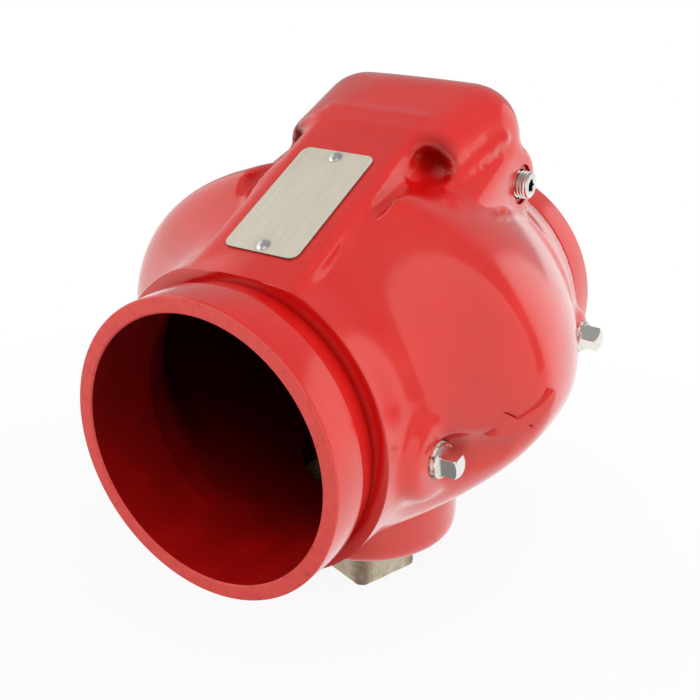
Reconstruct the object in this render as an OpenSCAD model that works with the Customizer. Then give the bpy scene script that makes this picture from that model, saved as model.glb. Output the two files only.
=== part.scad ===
// Grooved-end swing check valve for a DN100 (4 inch) fire main, closed, lying as in a level pipe.
// Origin: centre of the outlet end face. +Y runs up the waterway to the inlet, +Z is up.

/* [Pipe ends] */
// Outside diameter of the grooved pipe ends
pipe_od = 114.3; // [112:0.1:118]
// Length over the two end faces
face_to_face = 213; // [211:0.5:222]
// Width of the gasket seat at each end
gasket_seat = 15.88; // [14:0.01:17]
// Width of the coupling groove
groove_w = 8.74; // [8:0.01:9.5]
// Depth of the coupling groove
groove_depth = 2.11; // [1.8:0.01:2.4]
// Metal left under the coupling groove
end_wall = 4.04; // [3.5:0.01:5]
// Length of the plain bore behind the outlet face
outlet_bore_l = 32; // [28:0.5:36]

/* [Casting] */
// Wall of the casting
wall = 7; // [6:0.5:8]
// How far the shoulders behind the grooves stand out past the pipe ends
shoulder_rise = 4.35; // [3:0.05:6]
// The same at the bottom
shoulder_low_rise = 1.35; // [0.5:0.05:3]
// Distance of the widest section of the chamber from the outlet face
widest_y = 78; // [74:1:84]
// How far each cheek of the chamber stands out past the shoulder
cheek_rise = 35; // [30:0.5:38]
// How far the crown of the chamber stands up past the shoulder
crown_rise = 22.5; // [18:0.5:26]
// Height of the widest line of the cheeks above the waterway axis
cheek_lift = 10; // [6:0.5:14]
// Height of the sloping pad above the shoulder, at the middle of the pad
pad_rise = 13.5; // [12:0.1:16]
// Slope of the pad, in degrees
pad_slope = 25.3; // [24:0.1:26.5]
// Half the width of the raised pad
pad_half_w = 24; // [22:0.5:27]
// Half the width of the hinge housing at its back
hood_half_w = 45; // [44:0.5:46]
// Half the width of the hinge housing at its front
hood_front_half_w = 38.5; // [36:0.5:40]
// Radius of the hollow that is scooped out under each front corner of the housing
scoop_r = 8; // [6:0.5:9]
// Distance of the flow arrow's middle from the outlet face
arrow_y = 71; // [68:1:80]
// How far the flow arrow stands out
arrow_rise = 1.4; // [0.8:0.1:2.5]

/* [Hinge] */
// Distance of the hinge pin in front of the seating lip
hinge_back = 13; // [12:0.5:15]
// Height of the hinge pin above the clapper's rim
hinge_above = 11.2; // [11:0.1:13]
// Diameter of the hinge pin
pin_d = 10; // [8:0.5:11]
// Clearance round the pin
pin_gap = 0.05; // [0.02:0.01:0.1]
// Wall of the bushes in the clapper's ears
bush_wall = 2; // [1.5:0.1:2.5]
// Metal round the bushes
ear_wall = 3.5; // [3:0.1:4]
// Width of each hinge ear of the clapper
ear_w = 12; // [10:0.5:13]
// Distance between the two ears
ear_gap = 24; // [22:0.5:26]
// Thickness of the spacers beside the ears
spacer_t = 2; // [1:0.5:3]
// Metal round the plugs in the bosses that hold the pin
pin_boss_wall = 8.5; // [7.5:0.1:9]
// How far those bosses stand out past the hinge housing
pin_boss_rise = 1.9; // [1:0.1:3]

/* [Seat and clapper] */
// Distance of the seating lip from the inlet face
seat_inset = 48; // [47:0.5:50]
// How far the seat ring stands in past the bore of the waterway
seat_step = 2.5; // [2:0.1:4]
// Width of the seat ring's metal
seat_wall = 6.5; // [6:0.1:7.5]
// Length of the seat ring behind its lip
seat_len = 8; // [7:0.5:9]
// Gap between the seal and the lip in the model of the shut valve
seal_gap = 0.1; // [0.1:0.05:0.3]
// How far the clapper's rim stands out past the seat ring
clapper_margin = 2; // [1.5:0.1:3]
// Room between the clapper's rim and the wall of the chamber
clapper_room = 4.5; // [4:0.1:6]
// Thickness of the clapper behind its seal
clapper_t = 5; // [4:0.5:6]
// Thickness of the seal at the seating lip
seal_t = 5; // [4.5:0.1:6]
// Clearance between the clamp plate and the bore of the seat ring
clamp_gap = 1.5; // [1:0.1:3]
// Thickness of the clamp plate
clamp_t = 3; // [2:0.5:4]
// Thread diameter of the clamp bolt
bolt_d = 10; // [8:1:12]
// How far the clapper opens, in degrees
open_angle = 75; // [70:1:75]

/* [Spring] */
// Wire diameter of the closing spring
wire_d = 2.5; // [2:0.1:2.8]
// Clearance between the hinge pin and the inside of the coil
coil_gap = 2.25; // [1.5:0.05:2.5]
// Number of turns of the coil
coil_turns = 6; // [4:1:7]

/* [Tappings and plugs] */
// Distance of the drain boss from the outlet face
drain_y = 110.8; // [106:0.5:114]
// Metal round the drain thread
drain_wall = 10.9; // [9:0.1:12]
// How far the drain boss stands down past the shoulder
drain_drop = 24.5; // [22:0.5:29]
// Thread diameter of the drain plug
drain_thread_d = 58; // [54:0.5:60]
// Height of the square head of the drain plug
drain_head_h = 17.5; // [12:0.5:19]
// Width across the flats of the drain plug's head
drain_head_af = 33.3; // [30:0.1:36]
// Thread diameter of the small plugs
tap_d = 13.2; // [12:0.1:13.7]
// Width across the flats of the square heads of the gauge plugs
gauge_head_af = 7.6; // [7:0.1:8.5]
// Distance of the outlet gauge tapping from the outlet face
outlet_tap_y = 50; // [49:0.5:54]
// Distance of the inlet gauge tapping from the inlet face
inlet_tap_inset = 32; // [31.7:0.1:33]

/* [Nameplate] */
// Width of the nameplate
plate_w = 31.5; // [26:0.5:34]
// Length of the nameplate
plate_l = 58; // [54:0.5:60]
// Thickness of the nameplate
plate_t = 0.8; // [0.5:0.1:1.2]
// Distance of the middle of the nameplate from the outlet face
plate_y = 63; // [60:0.1:66]

/* [Hidden] */
$fn = 96;

eps = 0.01;
over = 1;

pipe_r = pipe_od / 2;
groove_r = pipe_r - groove_depth;
bore_r = groove_r - end_wall;
lip_round = 1;
shoulder_r = pipe_r + shoulder_rise;
shoulder_low = pipe_r + shoulder_low_rise;
shoulder_out_y = gasket_seat + groove_w;
shoulder_in_y = face_to_face - shoulder_out_y;

seat_y = face_to_face - seat_inset;
seat_shelf = 2;
seat_lip_w = 4;
seat_chamfer = 1;
seat_bore_r = bore_r - seat_step;
seat_r = seat_bore_r + seat_wall;
seat_shelf_y = seat_y + seat_shelf;
seat_back_y = seat_shelf_y + seat_len;
clapper_r = seat_r + clapper_margin;
clapper_space_r = clapper_r + clapper_room;
seat_swell_r = clapper_space_r + wall;
clamp_r = seat_bore_r - clamp_gap;

hinge_y = seat_y - hinge_back;
hinge_z = clapper_r + hinge_above;
bush_d = pin_d + 2 * bush_wall;
ear_d = bush_d + 2 * ear_wall;
pin_bore_d = pin_d + 2 * pin_gap;
pin_boss_d = tap_d + 2 * pin_boss_wall;
pin_boss_x = hood_half_w + pin_boss_rise;
ear_x = ear_gap / 2;
boss_face_x = ear_x + ear_w + spacer_t;
pin_seat_l = 8;
pin_half = boss_face_x + pin_seat_l;

drain_depth = shoulder_low + drain_drop;
drain_boss_d = drain_thread_d + 2 * drain_wall;
inlet_tap_y = face_to_face - inlet_tap_inset;

module casting_red() color([0.80, 0.09, 0.08]) children();

module both_sides() {
    children();
    mirror([1, 0, 0]) children();
}

// The frame of the sloping pad: X across, Y up the slope, Z out of the metal
pad_mid_y = 63;
pad_z = shoulder_r + pad_rise;

function pad_height(y) = pad_z + (y - pad_mid_y) * tan(pad_slope);

module on_pad(y) {
    translate([0, y, pad_height(y)]) rotate([pad_slope, 0, 0]) children();
}

// The frame of a tapping on the right side: Z runs out of the valve along +X
module on_right(x, y, z) {
    translate([x, y, z]) rotate([0, 90, 0]) children();
}

// Things that turn about the waterway axis: the profile's X is the radius, its Y runs to the inlet
module round_waterway() {
    rotate([-90, 0, 0]) rotate_extrude() children();
}

// Chamber of the casting: a loft of sections whose cheeks swell and die away again

bulge_out_y = shoulder_out_y;
bulge_in_y = shoulder_in_y - 3;
front_power = 5;
back_power = 1.21;
lower_power = 1.5;
belly_drop = 2.5;
loft_steps = 30;
loft_sides = 44;

// 0 at both shoulders and 1 at the widest section: steep at the outlet, a long taper at the inlet
function swell(y) =
    y <= bulge_out_y || y >= bulge_in_y ? 0 :
    y < widest_y ? pow(sin(90 * (y - bulge_out_y) / (widest_y - bulge_out_y)), front_power) :
    pow(sin(90 * (bulge_in_y - y) / (bulge_in_y - widest_y)), back_power);

function half_width(y) = shoulder_r + cheek_rise * swell(y);

function sgn_pow(v, p) = sign(v) * pow(abs(v), p);

// One point of the section at y, with the metal pared back by inset
function chamber_point(y, angle, inset) =
    let (
        b = swell(y),
        middle = cheek_lift * b,
        half_w = half_width(y) - inset,
        up = shoulder_r + crown_rise * b - inset - middle,
        down = shoulder_low + belly_drop * b - inset + middle,
        power = angle < 180 ? 2 : 2 + (lower_power - 2) * b
    )
    [half_w * sgn_pow(cos(angle), 2 / power), y,
     middle + (angle < 180 ? up : down) * sgn_pow(sin(angle), 2 / power)];

module chamber_loft(y0, y1, inset) {
    steps = loft_steps;
    sides = loft_sides;
    points = [for (i = [0 : steps], j = [0 : sides - 1])
        chamber_point(y0 + (y1 - y0) * i / steps, 360 * j / sides, inset)];
    skin = [for (i = [0 : steps - 1], j = [0 : sides - 1], half = [0, 1])
        let (a = i * sides + j, b = i * sides + (j + 1) % sides)
        half == 0 ? [a, b, a + sides] : [b, b + sides, a + sides]];
    ends = [[for (j = [sides - 1 : -1 : 0]) j],
            [for (j = [0 : sides - 1]) steps * sides + j]];
    polyhedron(points, concat(skin, ends));
}

// Everything above the sloping plane that lies drop under the pad, from the outlet's groove on
module above_pad(drop) {
    size = 2 * face_to_face;
    intersection() {
        on_pad(pad_mid_y) translate([-size / 2, -size / 2, -drop]) cube(size);
        translate([-size / 2, gasket_seat + groove_w / 2, 0]) cube(size);
    }
}

// Hinge housing: a rounded hood over the pin, a little crowned across, with its corners low

hood_r = 24;
hood_back_y = hinge_y - 8;
hood_back_drop = 2.9;
hood_side_r = 21;
hood_side_drop = 5.4;
hood_front_r = 17;
hood_front_y = hinge_y - 38;
hood_front_lift = 0.4;
hood_crown_x = 10;
hood_foot_z = 40;
hood_wall_in = 10;
hood_wall_top = 12;

// Height for a ball of this radius whose top touches the pad's plane
function under_pad(y, r) = pad_height(y) - r / cos(pad_slope);

module hood_post(x, y, z, r, sides) {
    translate([x, y, 0]) {
        translate([0, 0, z]) sphere(r, $fn = sides);
        translate([0, 0, hood_foot_z]) cylinder(r = r, h = z - hood_foot_z, $fn = sides);
    }
}

// Its front is set back further inside than outside, clear of the scooped hollows
module hood(inset, back, setback) {
    side_y = hood_back_y + hood_r - hood_side_r;
    front_y = hood_front_y + setback;
    hull() {
        both_sides() {
            hood_post(hood_crown_x, hood_back_y, under_pad(hood_back_y, hood_r) - hood_back_drop,
                hood_r - inset, 32);
            hood_post(hood_half_w - hood_side_r, side_y, under_pad(side_y, hood_side_r) - hood_side_drop,
                hood_side_r - inset, 32);
            hood_post(hood_front_half_w - hood_front_r, front_y,
                under_pad(front_y, hood_front_r) + hood_front_lift, hood_front_r - inset, 28);
        }
        translate([-hood_half_w + hood_wall_in, hinge_y, hood_foot_z])
            cube([2 * (hood_half_w - hood_wall_in), back - hinge_y, hinge_z + hood_wall_top - hood_foot_z]);
    }
}

// Raised pad that runs up into the housing

pad_edge_r = 5;
pad_depth = 34;
pad_spread = 6;
pad_root_h = 2;
pad_proud = 0.25;
pad_start_y = shoulder_out_y + 0.5;
pad_l = (hood_front_y + 2 - pad_start_y) / cos(pad_slope);

module pad_ridge() {
    on_pad(pad_start_y) hull() {
        both_sides() translate([pad_half_w - pad_edge_r, 0, -pad_edge_r])
            rotate([-90, 0, 0]) cylinder(r = pad_edge_r, h = pad_l, $fn = 24);
        translate([-pad_half_w - pad_spread, pad_depth, -pad_depth])
            cube([2 * (pad_half_w + pad_spread), pad_l - pad_depth, pad_root_h]);
    }
}

// Hollow under each front corner of the housing, between it, the pad and the chamber's crown

scoop_x = 32;
scoop_y = hood_front_y - 12;
scoop_drop = 0.6;

module scoops() {
    both_sides() translate([scoop_x, scoop_y, under_pad(scoop_y, scoop_r) - scoop_drop]) sphere(scoop_r);
}

swell_root_y = seat_y - 69;
swell_top_y = seat_y - 31;
shoulder_step = 0.5;

module neck_profile() {
    polygon([
        [0, 0], [pipe_r - lip_round, 0], [pipe_r, lip_round], [pipe_r, gasket_seat],
        [groove_r, gasket_seat], [groove_r, swell_root_y],
        [seat_swell_r, swell_top_y], [seat_swell_r, seat_shelf_y],
        [shoulder_r + shoulder_step, shoulder_in_y], [groove_r, shoulder_in_y],
        [groove_r, shoulder_in_y + groove_w], [pipe_r, shoulder_in_y + groove_w],
        [pipe_r, face_to_face - lip_round], [pipe_r - lip_round, face_to_face], [0, face_to_face]
    ]);
}

// Boss for the hinge pin, rounded at its face, with the web that stiffens it from below

boss_round = 4;
boss_recess = 1;
boss_recess_gap = 2.2;
web_root = 6.5;
web_r = 4;
web_h = 12;
web_x = 20;
web_foot_y = 14;
web_foot_drop = 34;

module pin_boss() {
    boss_r = pin_boss_d / 2;
    on_right(0, hinge_y, hinge_z) rotate_extrude() {
        square([boss_r - boss_round, pin_boss_x]);
        square([boss_r, pin_boss_x - boss_round]);
        translate([boss_r - boss_round, pin_boss_x - boss_round]) intersection() {
            circle(boss_round, $fn = 48);
            square(boss_round);
        }
    }
    hull() {
        on_right(pin_boss_x - boss_round - web_h, hinge_y, hinge_z)
            cylinder(r = boss_r - 2, h = web_h, $fn = 32);
        on_right(web_x, hinge_y + web_foot_y, hinge_z - web_foot_drop)
            cylinder(r = web_r, h = pin_boss_x - web_x - web_root, $fn = 20);
    }
}

// Bosses of the two gauge tappings on the right side

gauge_boss_rise = 0.4;
outlet_tap_z = -5;
outlet_boss_x = half_width(outlet_tap_y) + gauge_boss_rise;
outlet_boss_r = 15;
outlet_boss_l = 30;
inlet_tap_z = -4;
inlet_boss_x = shoulder_r + 5.5;
inlet_boss_r = 12;
inlet_boss_l = 16;
gauge_boss_bevel = 3;
boss_clear = 0.4;
tap_depth = 11;
tap_core_r = 3;
tap_core_l = 27;

module gauge_boss(x, y, z, r, l) {
    on_right(x - l, y, z) {
        cylinder(r = r, h = l - gauge_boss_bevel);
        translate([0, 0, l - gauge_boss_bevel])
            cylinder(r1 = r, r2 = r - gauge_boss_bevel, h = gauge_boss_bevel);
    }
}

module outlet_gauge_boss() {
    gauge_boss(outlet_boss_x, outlet_tap_y, outlet_tap_z, outlet_boss_r, outlet_boss_l);
}

module inlet_gauge_boss() {
    room = 4 * inlet_boss_r;
    intersection() {
        gauge_boss(inlet_boss_x, inlet_tap_y, inlet_tap_z, inlet_boss_r, inlet_boss_l);
        translate([inlet_boss_x - room, shoulder_in_y - boss_clear - room, inlet_tap_z - room / 2])
            cube([2 * room, room, room]);
    }
}

module tapping(x, y, z) {
    on_right(x - tap_depth, y, z) cylinder(d = tap_d, h = 2 * tap_depth);
    on_right(x - tap_core_l, y, z) cylinder(r = tap_core_r, h = tap_core_l);
}

drain_round = 5;
drain_root = 20;

module drain_boss() {
    translate([0, drain_y, -drain_depth]) rotate_extrude() difference() {
        square([drain_boss_d / 2, drain_depth - drain_root]);
        translate([drain_boss_d / 2 - drain_round, 0]) difference() {
            square(drain_round + eps);
            translate([0, drain_round]) circle(drain_round, $fn = 48);
        }
    }
}

// Cast arrow on the right cheek that points down the flow, to the outlet

arrow_z = 10;
arrow_tilt = 42;
arrow_l = 30;
arrow_bar = 4;
arrow_head_l = 9;
arrow_head_w = 12;

module flow_arrow() {
    intersection() {
        on_right(shoulder_r, arrow_y, arrow_z) rotate([0, 0, 90 + arrow_tilt])
            linear_extrude(cheek_rise + arrow_rise) polygon([
                [-arrow_l / 2, 0], [arrow_head_l - arrow_l / 2, arrow_head_w / 2],
                [arrow_head_l - arrow_l / 2, arrow_bar / 2], [arrow_l / 2, arrow_bar / 2],
                [arrow_l / 2, -arrow_bar / 2], [arrow_head_l - arrow_l / 2, -arrow_bar / 2],
                [arrow_head_l - arrow_l / 2, -arrow_head_w / 2]
            ]);
        chamber_loft(bulge_out_y, bulge_in_y, -arrow_rise);
    }
}

// Waterway, chamber and seat housing inside the casting

hinge_room = 2;
pocket_setback = 10;
swell_space_root = 10;
swell_space_top = 3;

module chamber_space() {
    difference() {
        chamber_loft(outlet_bore_l, seat_y - 2, wall);
        above_pad(wall);
        clapper_stops();
    }
    round_waterway() polygon([
        [0, outlet_bore_l], [bore_r, outlet_bore_l], [bore_r, swell_root_y + swell_space_root],
        [clapper_space_r, swell_top_y + swell_space_top], [clapper_space_r, seat_shelf_y],
        [0, seat_shelf_y]
    ]);
    difference() {
        hood(wall, hinge_y + ear_d / 2 + hinge_room, pocket_setback);
        both_sides() on_right(boss_face_x, hinge_y, hinge_z) cylinder(d = ear_d, h = hood_half_w);
        spring_lug();
    }
}

// Cast pads under the roof of the outlet that the clapper's rim meets when it is fully open

stop_gap = 0.3;
stop_rim = 9;
stop_half_w = 52;
stop_inner_x = 34;
stop_depth = 20;
stop_h = 14;

module clapper_stops() {
    translate([0, hinge_y, hinge_z]) rotate([-open_angle, 0, 0]) both_sides()
        translate([stop_inner_x, disc_back_y - hinge_y - stop_gap - stop_depth, stop_rim - hinge_z - clapper_r])
            cube([stop_half_w - stop_inner_x, stop_depth, stop_h]);
}

spring_lug_w = 8;
spring_lug_t = 8;
spring_lug_side = 2;
spring_lug_z = 12;

module spring_lug() {
    translate([ear_x - spring_lug_side - spring_lug_w,
               hinge_y - coil_d / 2 - wire_d / 2 - spring_lug_t, hinge_z + spring_lug_z])
        cube([spring_lug_w, spring_lug_t, hood_half_w]);
}

module valve_body() {
    casting_red() difference() {
        union() {
            difference() {
                union() {
                    chamber_loft(bulge_out_y, bulge_in_y, 0);
                    flow_arrow();
                    round_waterway() neck_profile();
                }
                above_pad(pad_proud);
            }
            pad_ridge();
            hood(0, hood_back_y + hood_r - shoulder_step, 0);
            both_sides() pin_boss();
            outlet_gauge_boss();
            inlet_gauge_boss();
            drain_boss();
        }
        chamber_space();
        scoops();
        round_waterway() translate([0, -over]) square([bore_r, outlet_bore_l + 2 * over]);
        round_waterway() translate([0, seat_y]) square([seat_r, seat_back_y - seat_y]);
        round_waterway() translate([0, seat_y]) square([bore_r, seat_inset + over]);
        on_right(-pin_half - over, hinge_y, hinge_z) cylinder(d = pin_bore_d, h = 2 * (pin_half + over));
        both_sides() {
            on_right(pin_half, hinge_y, hinge_z) cylinder(d = tap_d, h = pin_boss_x);
            on_right(pin_boss_x - boss_recess, hinge_y, hinge_z)
                cylinder(r = tap_d / 2 + boss_recess_gap, h = boss_recess + over);
        }
        tapping(outlet_boss_x, outlet_tap_y, outlet_tap_z);
        tapping(inlet_boss_x, inlet_tap_y, inlet_tap_z);
        translate([0, drain_y, -drain_depth - over]) cylinder(d = drain_thread_d, h = drain_depth / 2);
        on_plate() at_rivets() translate([0, 0, -rivet_depth])
            cylinder(d = rivet_hole_d, h = rivet_depth + over, $fn = 32);
    }
}

// Seat ring pressed into the inlet end of the chamber, with the O-ring round it

o_ring_r = 1;
o_groove_half_w = 1.4;
o_groove_y = seat_shelf_y + seat_len / 2;

module seat_ring() {
    color([0.72, 0.53, 0.30]) difference() {
        round_waterway() polygon([
            [seat_bore_r, seat_y + seat_chamfer], [seat_bore_r + seat_chamfer, seat_y],
            [seat_bore_r + seat_lip_w, seat_y], [seat_bore_r + seat_lip_w, seat_shelf_y],
            [seat_r, seat_shelf_y], [seat_r, seat_back_y], [seat_bore_r, seat_back_y]
        ]);
        round_waterway() translate([seat_r - 2 * o_ring_r, o_groove_y - o_groove_half_w])
            square([2 * o_ring_r + over, 2 * o_groove_half_w]);
    }
}

module seat_o_ring() {
    color([0.08, 0.08, 0.08]) round_waterway()
        translate([seat_r - o_ring_r, o_groove_y]) circle(o_ring_r, $fn = 24);
}

// Hinge pin, its spacers, bushes and spring

pin_end = 1;
spacer_rim = 1.5;

module hinge_pin() {
    color([0.75, 0.75, 0.77]) on_right(-pin_half, hinge_y, hinge_z) rotate_extrude() polygon([
        [0, 0], [pin_d / 2 - pin_end, 0], [pin_d / 2, pin_end], [pin_d / 2, 2 * pin_half - pin_end],
        [pin_d / 2 - pin_end, 2 * pin_half], [0, 2 * pin_half]
    ]);
}

module ring(outer, inner, h) {
    difference() {
        cylinder(d = outer, h = h);
        translate([0, 0, -over]) cylinder(d = inner, h = h + 2 * over);
    }
}

module hinge_spacer(x) {
    color([0.86, 0.84, 0.76]) on_right(x, hinge_y, hinge_z)
        ring(bush_d + 2 * spacer_rim, pin_bore_d, spacer_t - pin_gap);
}

module hinge_spacer_right() {
    hinge_spacer(ear_x + ear_w + pin_gap);
}

module hinge_spacer_left() {
    hinge_spacer(-boss_face_x);
}

module clapper_bush(x) {
    color([0.72, 0.53, 0.30]) on_right(x, hinge_y, hinge_z) ring(bush_d, pin_bore_d, ear_w);
}

module clapper_bush_right() {
    clapper_bush(ear_x);
}

module clapper_bush_left() {
    clapper_bush(-ear_x - ear_w);
}

coil_d = pin_d + wire_d + 2 * coil_gap;
coil_side = 3;
coil_pitch = 2 * (ear_x - coil_side) / coil_turns;
spring_lower_leg = 34;
spring_upper_leg = 22;
turn_steps = 16;
wire_sides = 8;

// Middle line of the wire: up the leg on the clapper, round the pin, up the leg in the housing
function spring_path() = concat(
    [[-coil_turns * coil_pitch / 2, -coil_d / 2, -spring_lower_leg]],
    [for (i = [0 : turn_steps * coil_turns])
        let (a = 360 * i / turn_steps)
        [-coil_turns * coil_pitch / 2 + coil_pitch * i / turn_steps,
         -coil_d / 2 * cos(a), coil_d / 2 * sin(a)]],
    [[coil_turns * coil_pitch / 2, -coil_d / 2, spring_upper_leg]]);

function unit(v) = v / norm(v);

// Tube along a path that turns about X: one side of each ring looks along X
module wire(path, r, sides) {
    last = len(path) - 1;
    points = [for (i = [0 : last])
        let (
            along = unit(path[min(i + 1, last)] - path[max(i - 1, 0)]),
            out = unit(cross(along, [1, 0, 0])),
            across = cross(out, along)
        )
        for (j = [0 : sides - 1])
            path[i] + r * (cos(360 * j / sides) * across + sin(360 * j / sides) * out)];
    skin = [for (i = [0 : last - 1], j = [0 : sides - 1], half = [0, 1])
        let (a = i * sides + j, b = i * sides + (j + 1) % sides)
        half == 0 ? [a, a + sides, b] : [b, a + sides, b + sides]];
    polyhedron(points, concat(skin, [[for (j = [0 : sides - 1]) j],
        [for (j = [sides - 1 : -1 : 0]) last * sides + j]]));
}

module closing_spring() {
    color([0.70, 0.70, 0.72]) translate([0, hinge_y, hinge_z])
        wire(spring_path(), wire_d / 2, wire_sides);
}

// Plugs

plug_proud = 4.1;
plug_bevel = 1;
socket_af = 6.35;
socket_depth = 5;

module hinge_plug() {
    length = pin_boss_x - pin_half + plug_proud;
    color([0.80, 0.80, 0.82]) on_right(pin_half, hinge_y, hinge_z) difference() {
        union() {
            cylinder(d = tap_d, h = length - plug_bevel);
            translate([0, 0, length - plug_bevel])
                cylinder(d1 = tap_d, d2 = tap_d - 2 * plug_bevel, h = plug_bevel);
        }
        translate([0, 0, length - socket_depth])
            cylinder(d = socket_af / cos(30), h = socket_depth + over, $fn = 6);
    }
}

module hinge_plug_right() {
    hinge_plug();
}

module hinge_plug_left() {
    mirror([1, 0, 0]) hinge_plug();
}

module square_head(af, h, corner) {
    intersection() {
        translate([-af / 2, -af / 2, 0]) cube([af, af, h]);
        cylinder(d = af * corner, h = h);
    }
}

gauge_plug_depth = 9;
gauge_collar_h = 2.2;
gauge_neck_h = 0.8;
gauge_head_h = 6.5;
outlet_plug_turn = 10;
inlet_plug_turn = 35;

module gauge_plug(x, y, z, turn) {
    color([0.80, 0.80, 0.82]) on_right(x, y, z) {
        translate([0, 0, -gauge_plug_depth]) cylinder(d = tap_d, h = gauge_plug_depth + gauge_collar_h);
        translate([0, 0, gauge_collar_h]) cylinder(d1 = tap_d, d2 = gauge_head_af * 1.1, h = gauge_neck_h);
        rotate([0, 0, turn]) square_head(gauge_head_af, gauge_collar_h + gauge_neck_h + gauge_head_h, 1.22);
    }
}

module outlet_gauge_plug() {
    gauge_plug(outlet_boss_x, outlet_tap_y, outlet_tap_z, outlet_plug_turn);
}

module inlet_gauge_plug() {
    gauge_plug(inlet_boss_x, inlet_tap_y, inlet_tap_z, inlet_plug_turn);
}

drain_plug_depth = 20;
drain_collar_h = 5;
drain_head_turn = -19;

module drain_plug() {
    color([0.60, 0.59, 0.56]) translate([0, drain_y, -drain_depth]) {
        translate([0, 0, -drain_collar_h])
            cylinder(d = drain_thread_d, h = drain_plug_depth + drain_collar_h);
        translate([0, 0, -drain_collar_h - drain_head_h]) rotate([0, 0, drain_head_turn])
            square_head(drain_head_af, drain_head_h + eps, 1.28);
    }
}

// Nameplate and its two drive rivets, set out along the pad from its middle

plate_corner = 3.5;
rivet_hole_d = 3;
rivet_inset = 3.6;
rivet_depth = 5;
rivet_dome_r = 2.7;
rivet_dome_h = 1.2;
rivet_dome_curve = 3.64;

module on_plate() {
    on_pad(plate_y) children();
}

module at_rivets() {
    for (end = [-1, 1])
        translate([0, (plate_l / 2 - rivet_inset) * end, 0]) children();
}

module nameplate() {
    color([0.82, 0.79, 0.74]) on_plate() difference() {
        linear_extrude(plate_t) union() {
            square([plate_w - 2 * plate_corner, plate_l], center = true);
            square([plate_w, plate_l - 2 * plate_corner], center = true);
            for (x = [-1, 1], y = [-1, 1])
                translate([x * (plate_w / 2 - plate_corner), y * (plate_l / 2 - plate_corner)])
                    circle(plate_corner, $fn = 48);
        }
        at_rivets() translate([0, 0, -over]) cylinder(d = rivet_hole_d, h = plate_t + 2 * over, $fn = 32);
    }
}

module nameplate_rivets() {
    color([0.85, 0.84, 0.82]) on_plate() at_rivets() {
        translate([0, 0, -rivet_depth])
            cylinder(d = rivet_hole_d, h = rivet_depth + plate_t + eps, $fn = 32);
        translate([0, 0, plate_t]) rotate_extrude($fn = 40) intersection() {
            square([rivet_dome_r, rivet_dome_h]);
            translate([0, rivet_dome_h - rivet_dome_curve]) circle(rivet_dome_curve, $fn = 72);
        }
    }
}

// Clapper with its seal and clamp stack, drawn shut

clapper_face_y = seat_y - seal_gap;
disc_front_y = clapper_face_y - seal_t;
disc_back_y = disc_front_y - clapper_t;
hub_rise = 3;
hub_face_y = disc_front_y + hub_rise;
hub_depth = 4;
hub_back_y = disc_back_y - hub_depth;
hub_r = 13;
hub_flare = 2;
seal_grip = 13;
seal_inner_r = clamp_r - seal_grip;
rim_w = 2.5;
rim_bevel = 2;
rim_y = clapper_face_y - 1;
seal_outer_r = clapper_r - rim_w;
clamp_clear = 0.3;
clamp_bevel = 1;
bolt_clear = 0.25;
arm_knee_z = 40;
arm_knee_h = 8;
arm_knee_t = 9;
arm_foot_z = 16;
arm_foot_h = 4;
arm_foot_t = 3;
spring_pad_y = hinge_y - coil_d / 2 + wire_d / 2;
spring_pad_z = 30;
spring_pad_h = 14;

module clapper_arm() {
    hull() {
        on_right(ear_x, hinge_y, hinge_z) cylinder(d = ear_d, h = ear_w, $fn = 32);
        translate([ear_x, disc_back_y - arm_knee_t, arm_knee_z]) cube([ear_w, arm_knee_t, arm_knee_h]);
        translate([ear_x, disc_back_y - arm_foot_t, arm_foot_z])
            cube([ear_w, arm_foot_t + eps, arm_foot_h]);
    }
}

module clapper() {
    color([0.42, 0.42, 0.43]) difference() {
        union() {
            round_waterway() polygon([
                [0, hub_back_y], [hub_r, hub_back_y], [hub_r + hub_flare, disc_back_y],
                [clapper_r - rim_bevel, disc_back_y], [clapper_r, disc_back_y + rim_bevel],
                [clapper_r, rim_y], [seal_outer_r, rim_y], [seal_outer_r, disc_front_y],
                [seal_inner_r, disc_front_y], [seal_inner_r, hub_face_y], [0, hub_face_y]
            ]);
            both_sides() clapper_arm();
            translate([-ear_x - eps, spring_pad_y, spring_pad_z])
                cube([ear_gap + 2 * eps, disc_back_y - spring_pad_y + eps, spring_pad_h]);
        }
        on_right(-pin_half, hinge_y, hinge_z) cylinder(d = bush_d, h = 2 * pin_half);
        round_waterway() translate([0, hub_back_y - over])
            square([bolt_d / 2 + bolt_clear, hub_face_y - hub_back_y + 2 * over]);
    }
}

module clapper_seal() {
    color([0.10, 0.10, 0.10]) round_waterway() polygon([
        [seal_inner_r, disc_front_y], [seal_outer_r, disc_front_y], [seal_outer_r, clapper_face_y],
        [clamp_r + clamp_clear, clapper_face_y], [clamp_r + clamp_clear, hub_face_y],
        [seal_inner_r, hub_face_y]
    ]);
}

module seal_clamp_plate() {
    color([0.74, 0.74, 0.76]) round_waterway() polygon([
        [bolt_d / 2 + bolt_clear, hub_face_y], [clamp_r, hub_face_y],
        [clamp_r, hub_face_y + clamp_t - clamp_bevel], [clamp_r - clamp_bevel, hub_face_y + clamp_t],
        [bolt_d / 2 + bolt_clear, hub_face_y + clamp_t]
    ]);
}

washer_t = 1.6;
washer_d = 2.1 * bolt_d;
bolt_head_h = 6.4;
nut_h = 9;
nut_taper = 2.5;
bolt_end = 1.5;
hex_af = 1.7 * bolt_d;
clamp_front_y = hub_face_y + clamp_t;

module across_flats(af, h) {
    cylinder(d = af / cos(30), h = h, $fn = 6);
}

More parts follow.
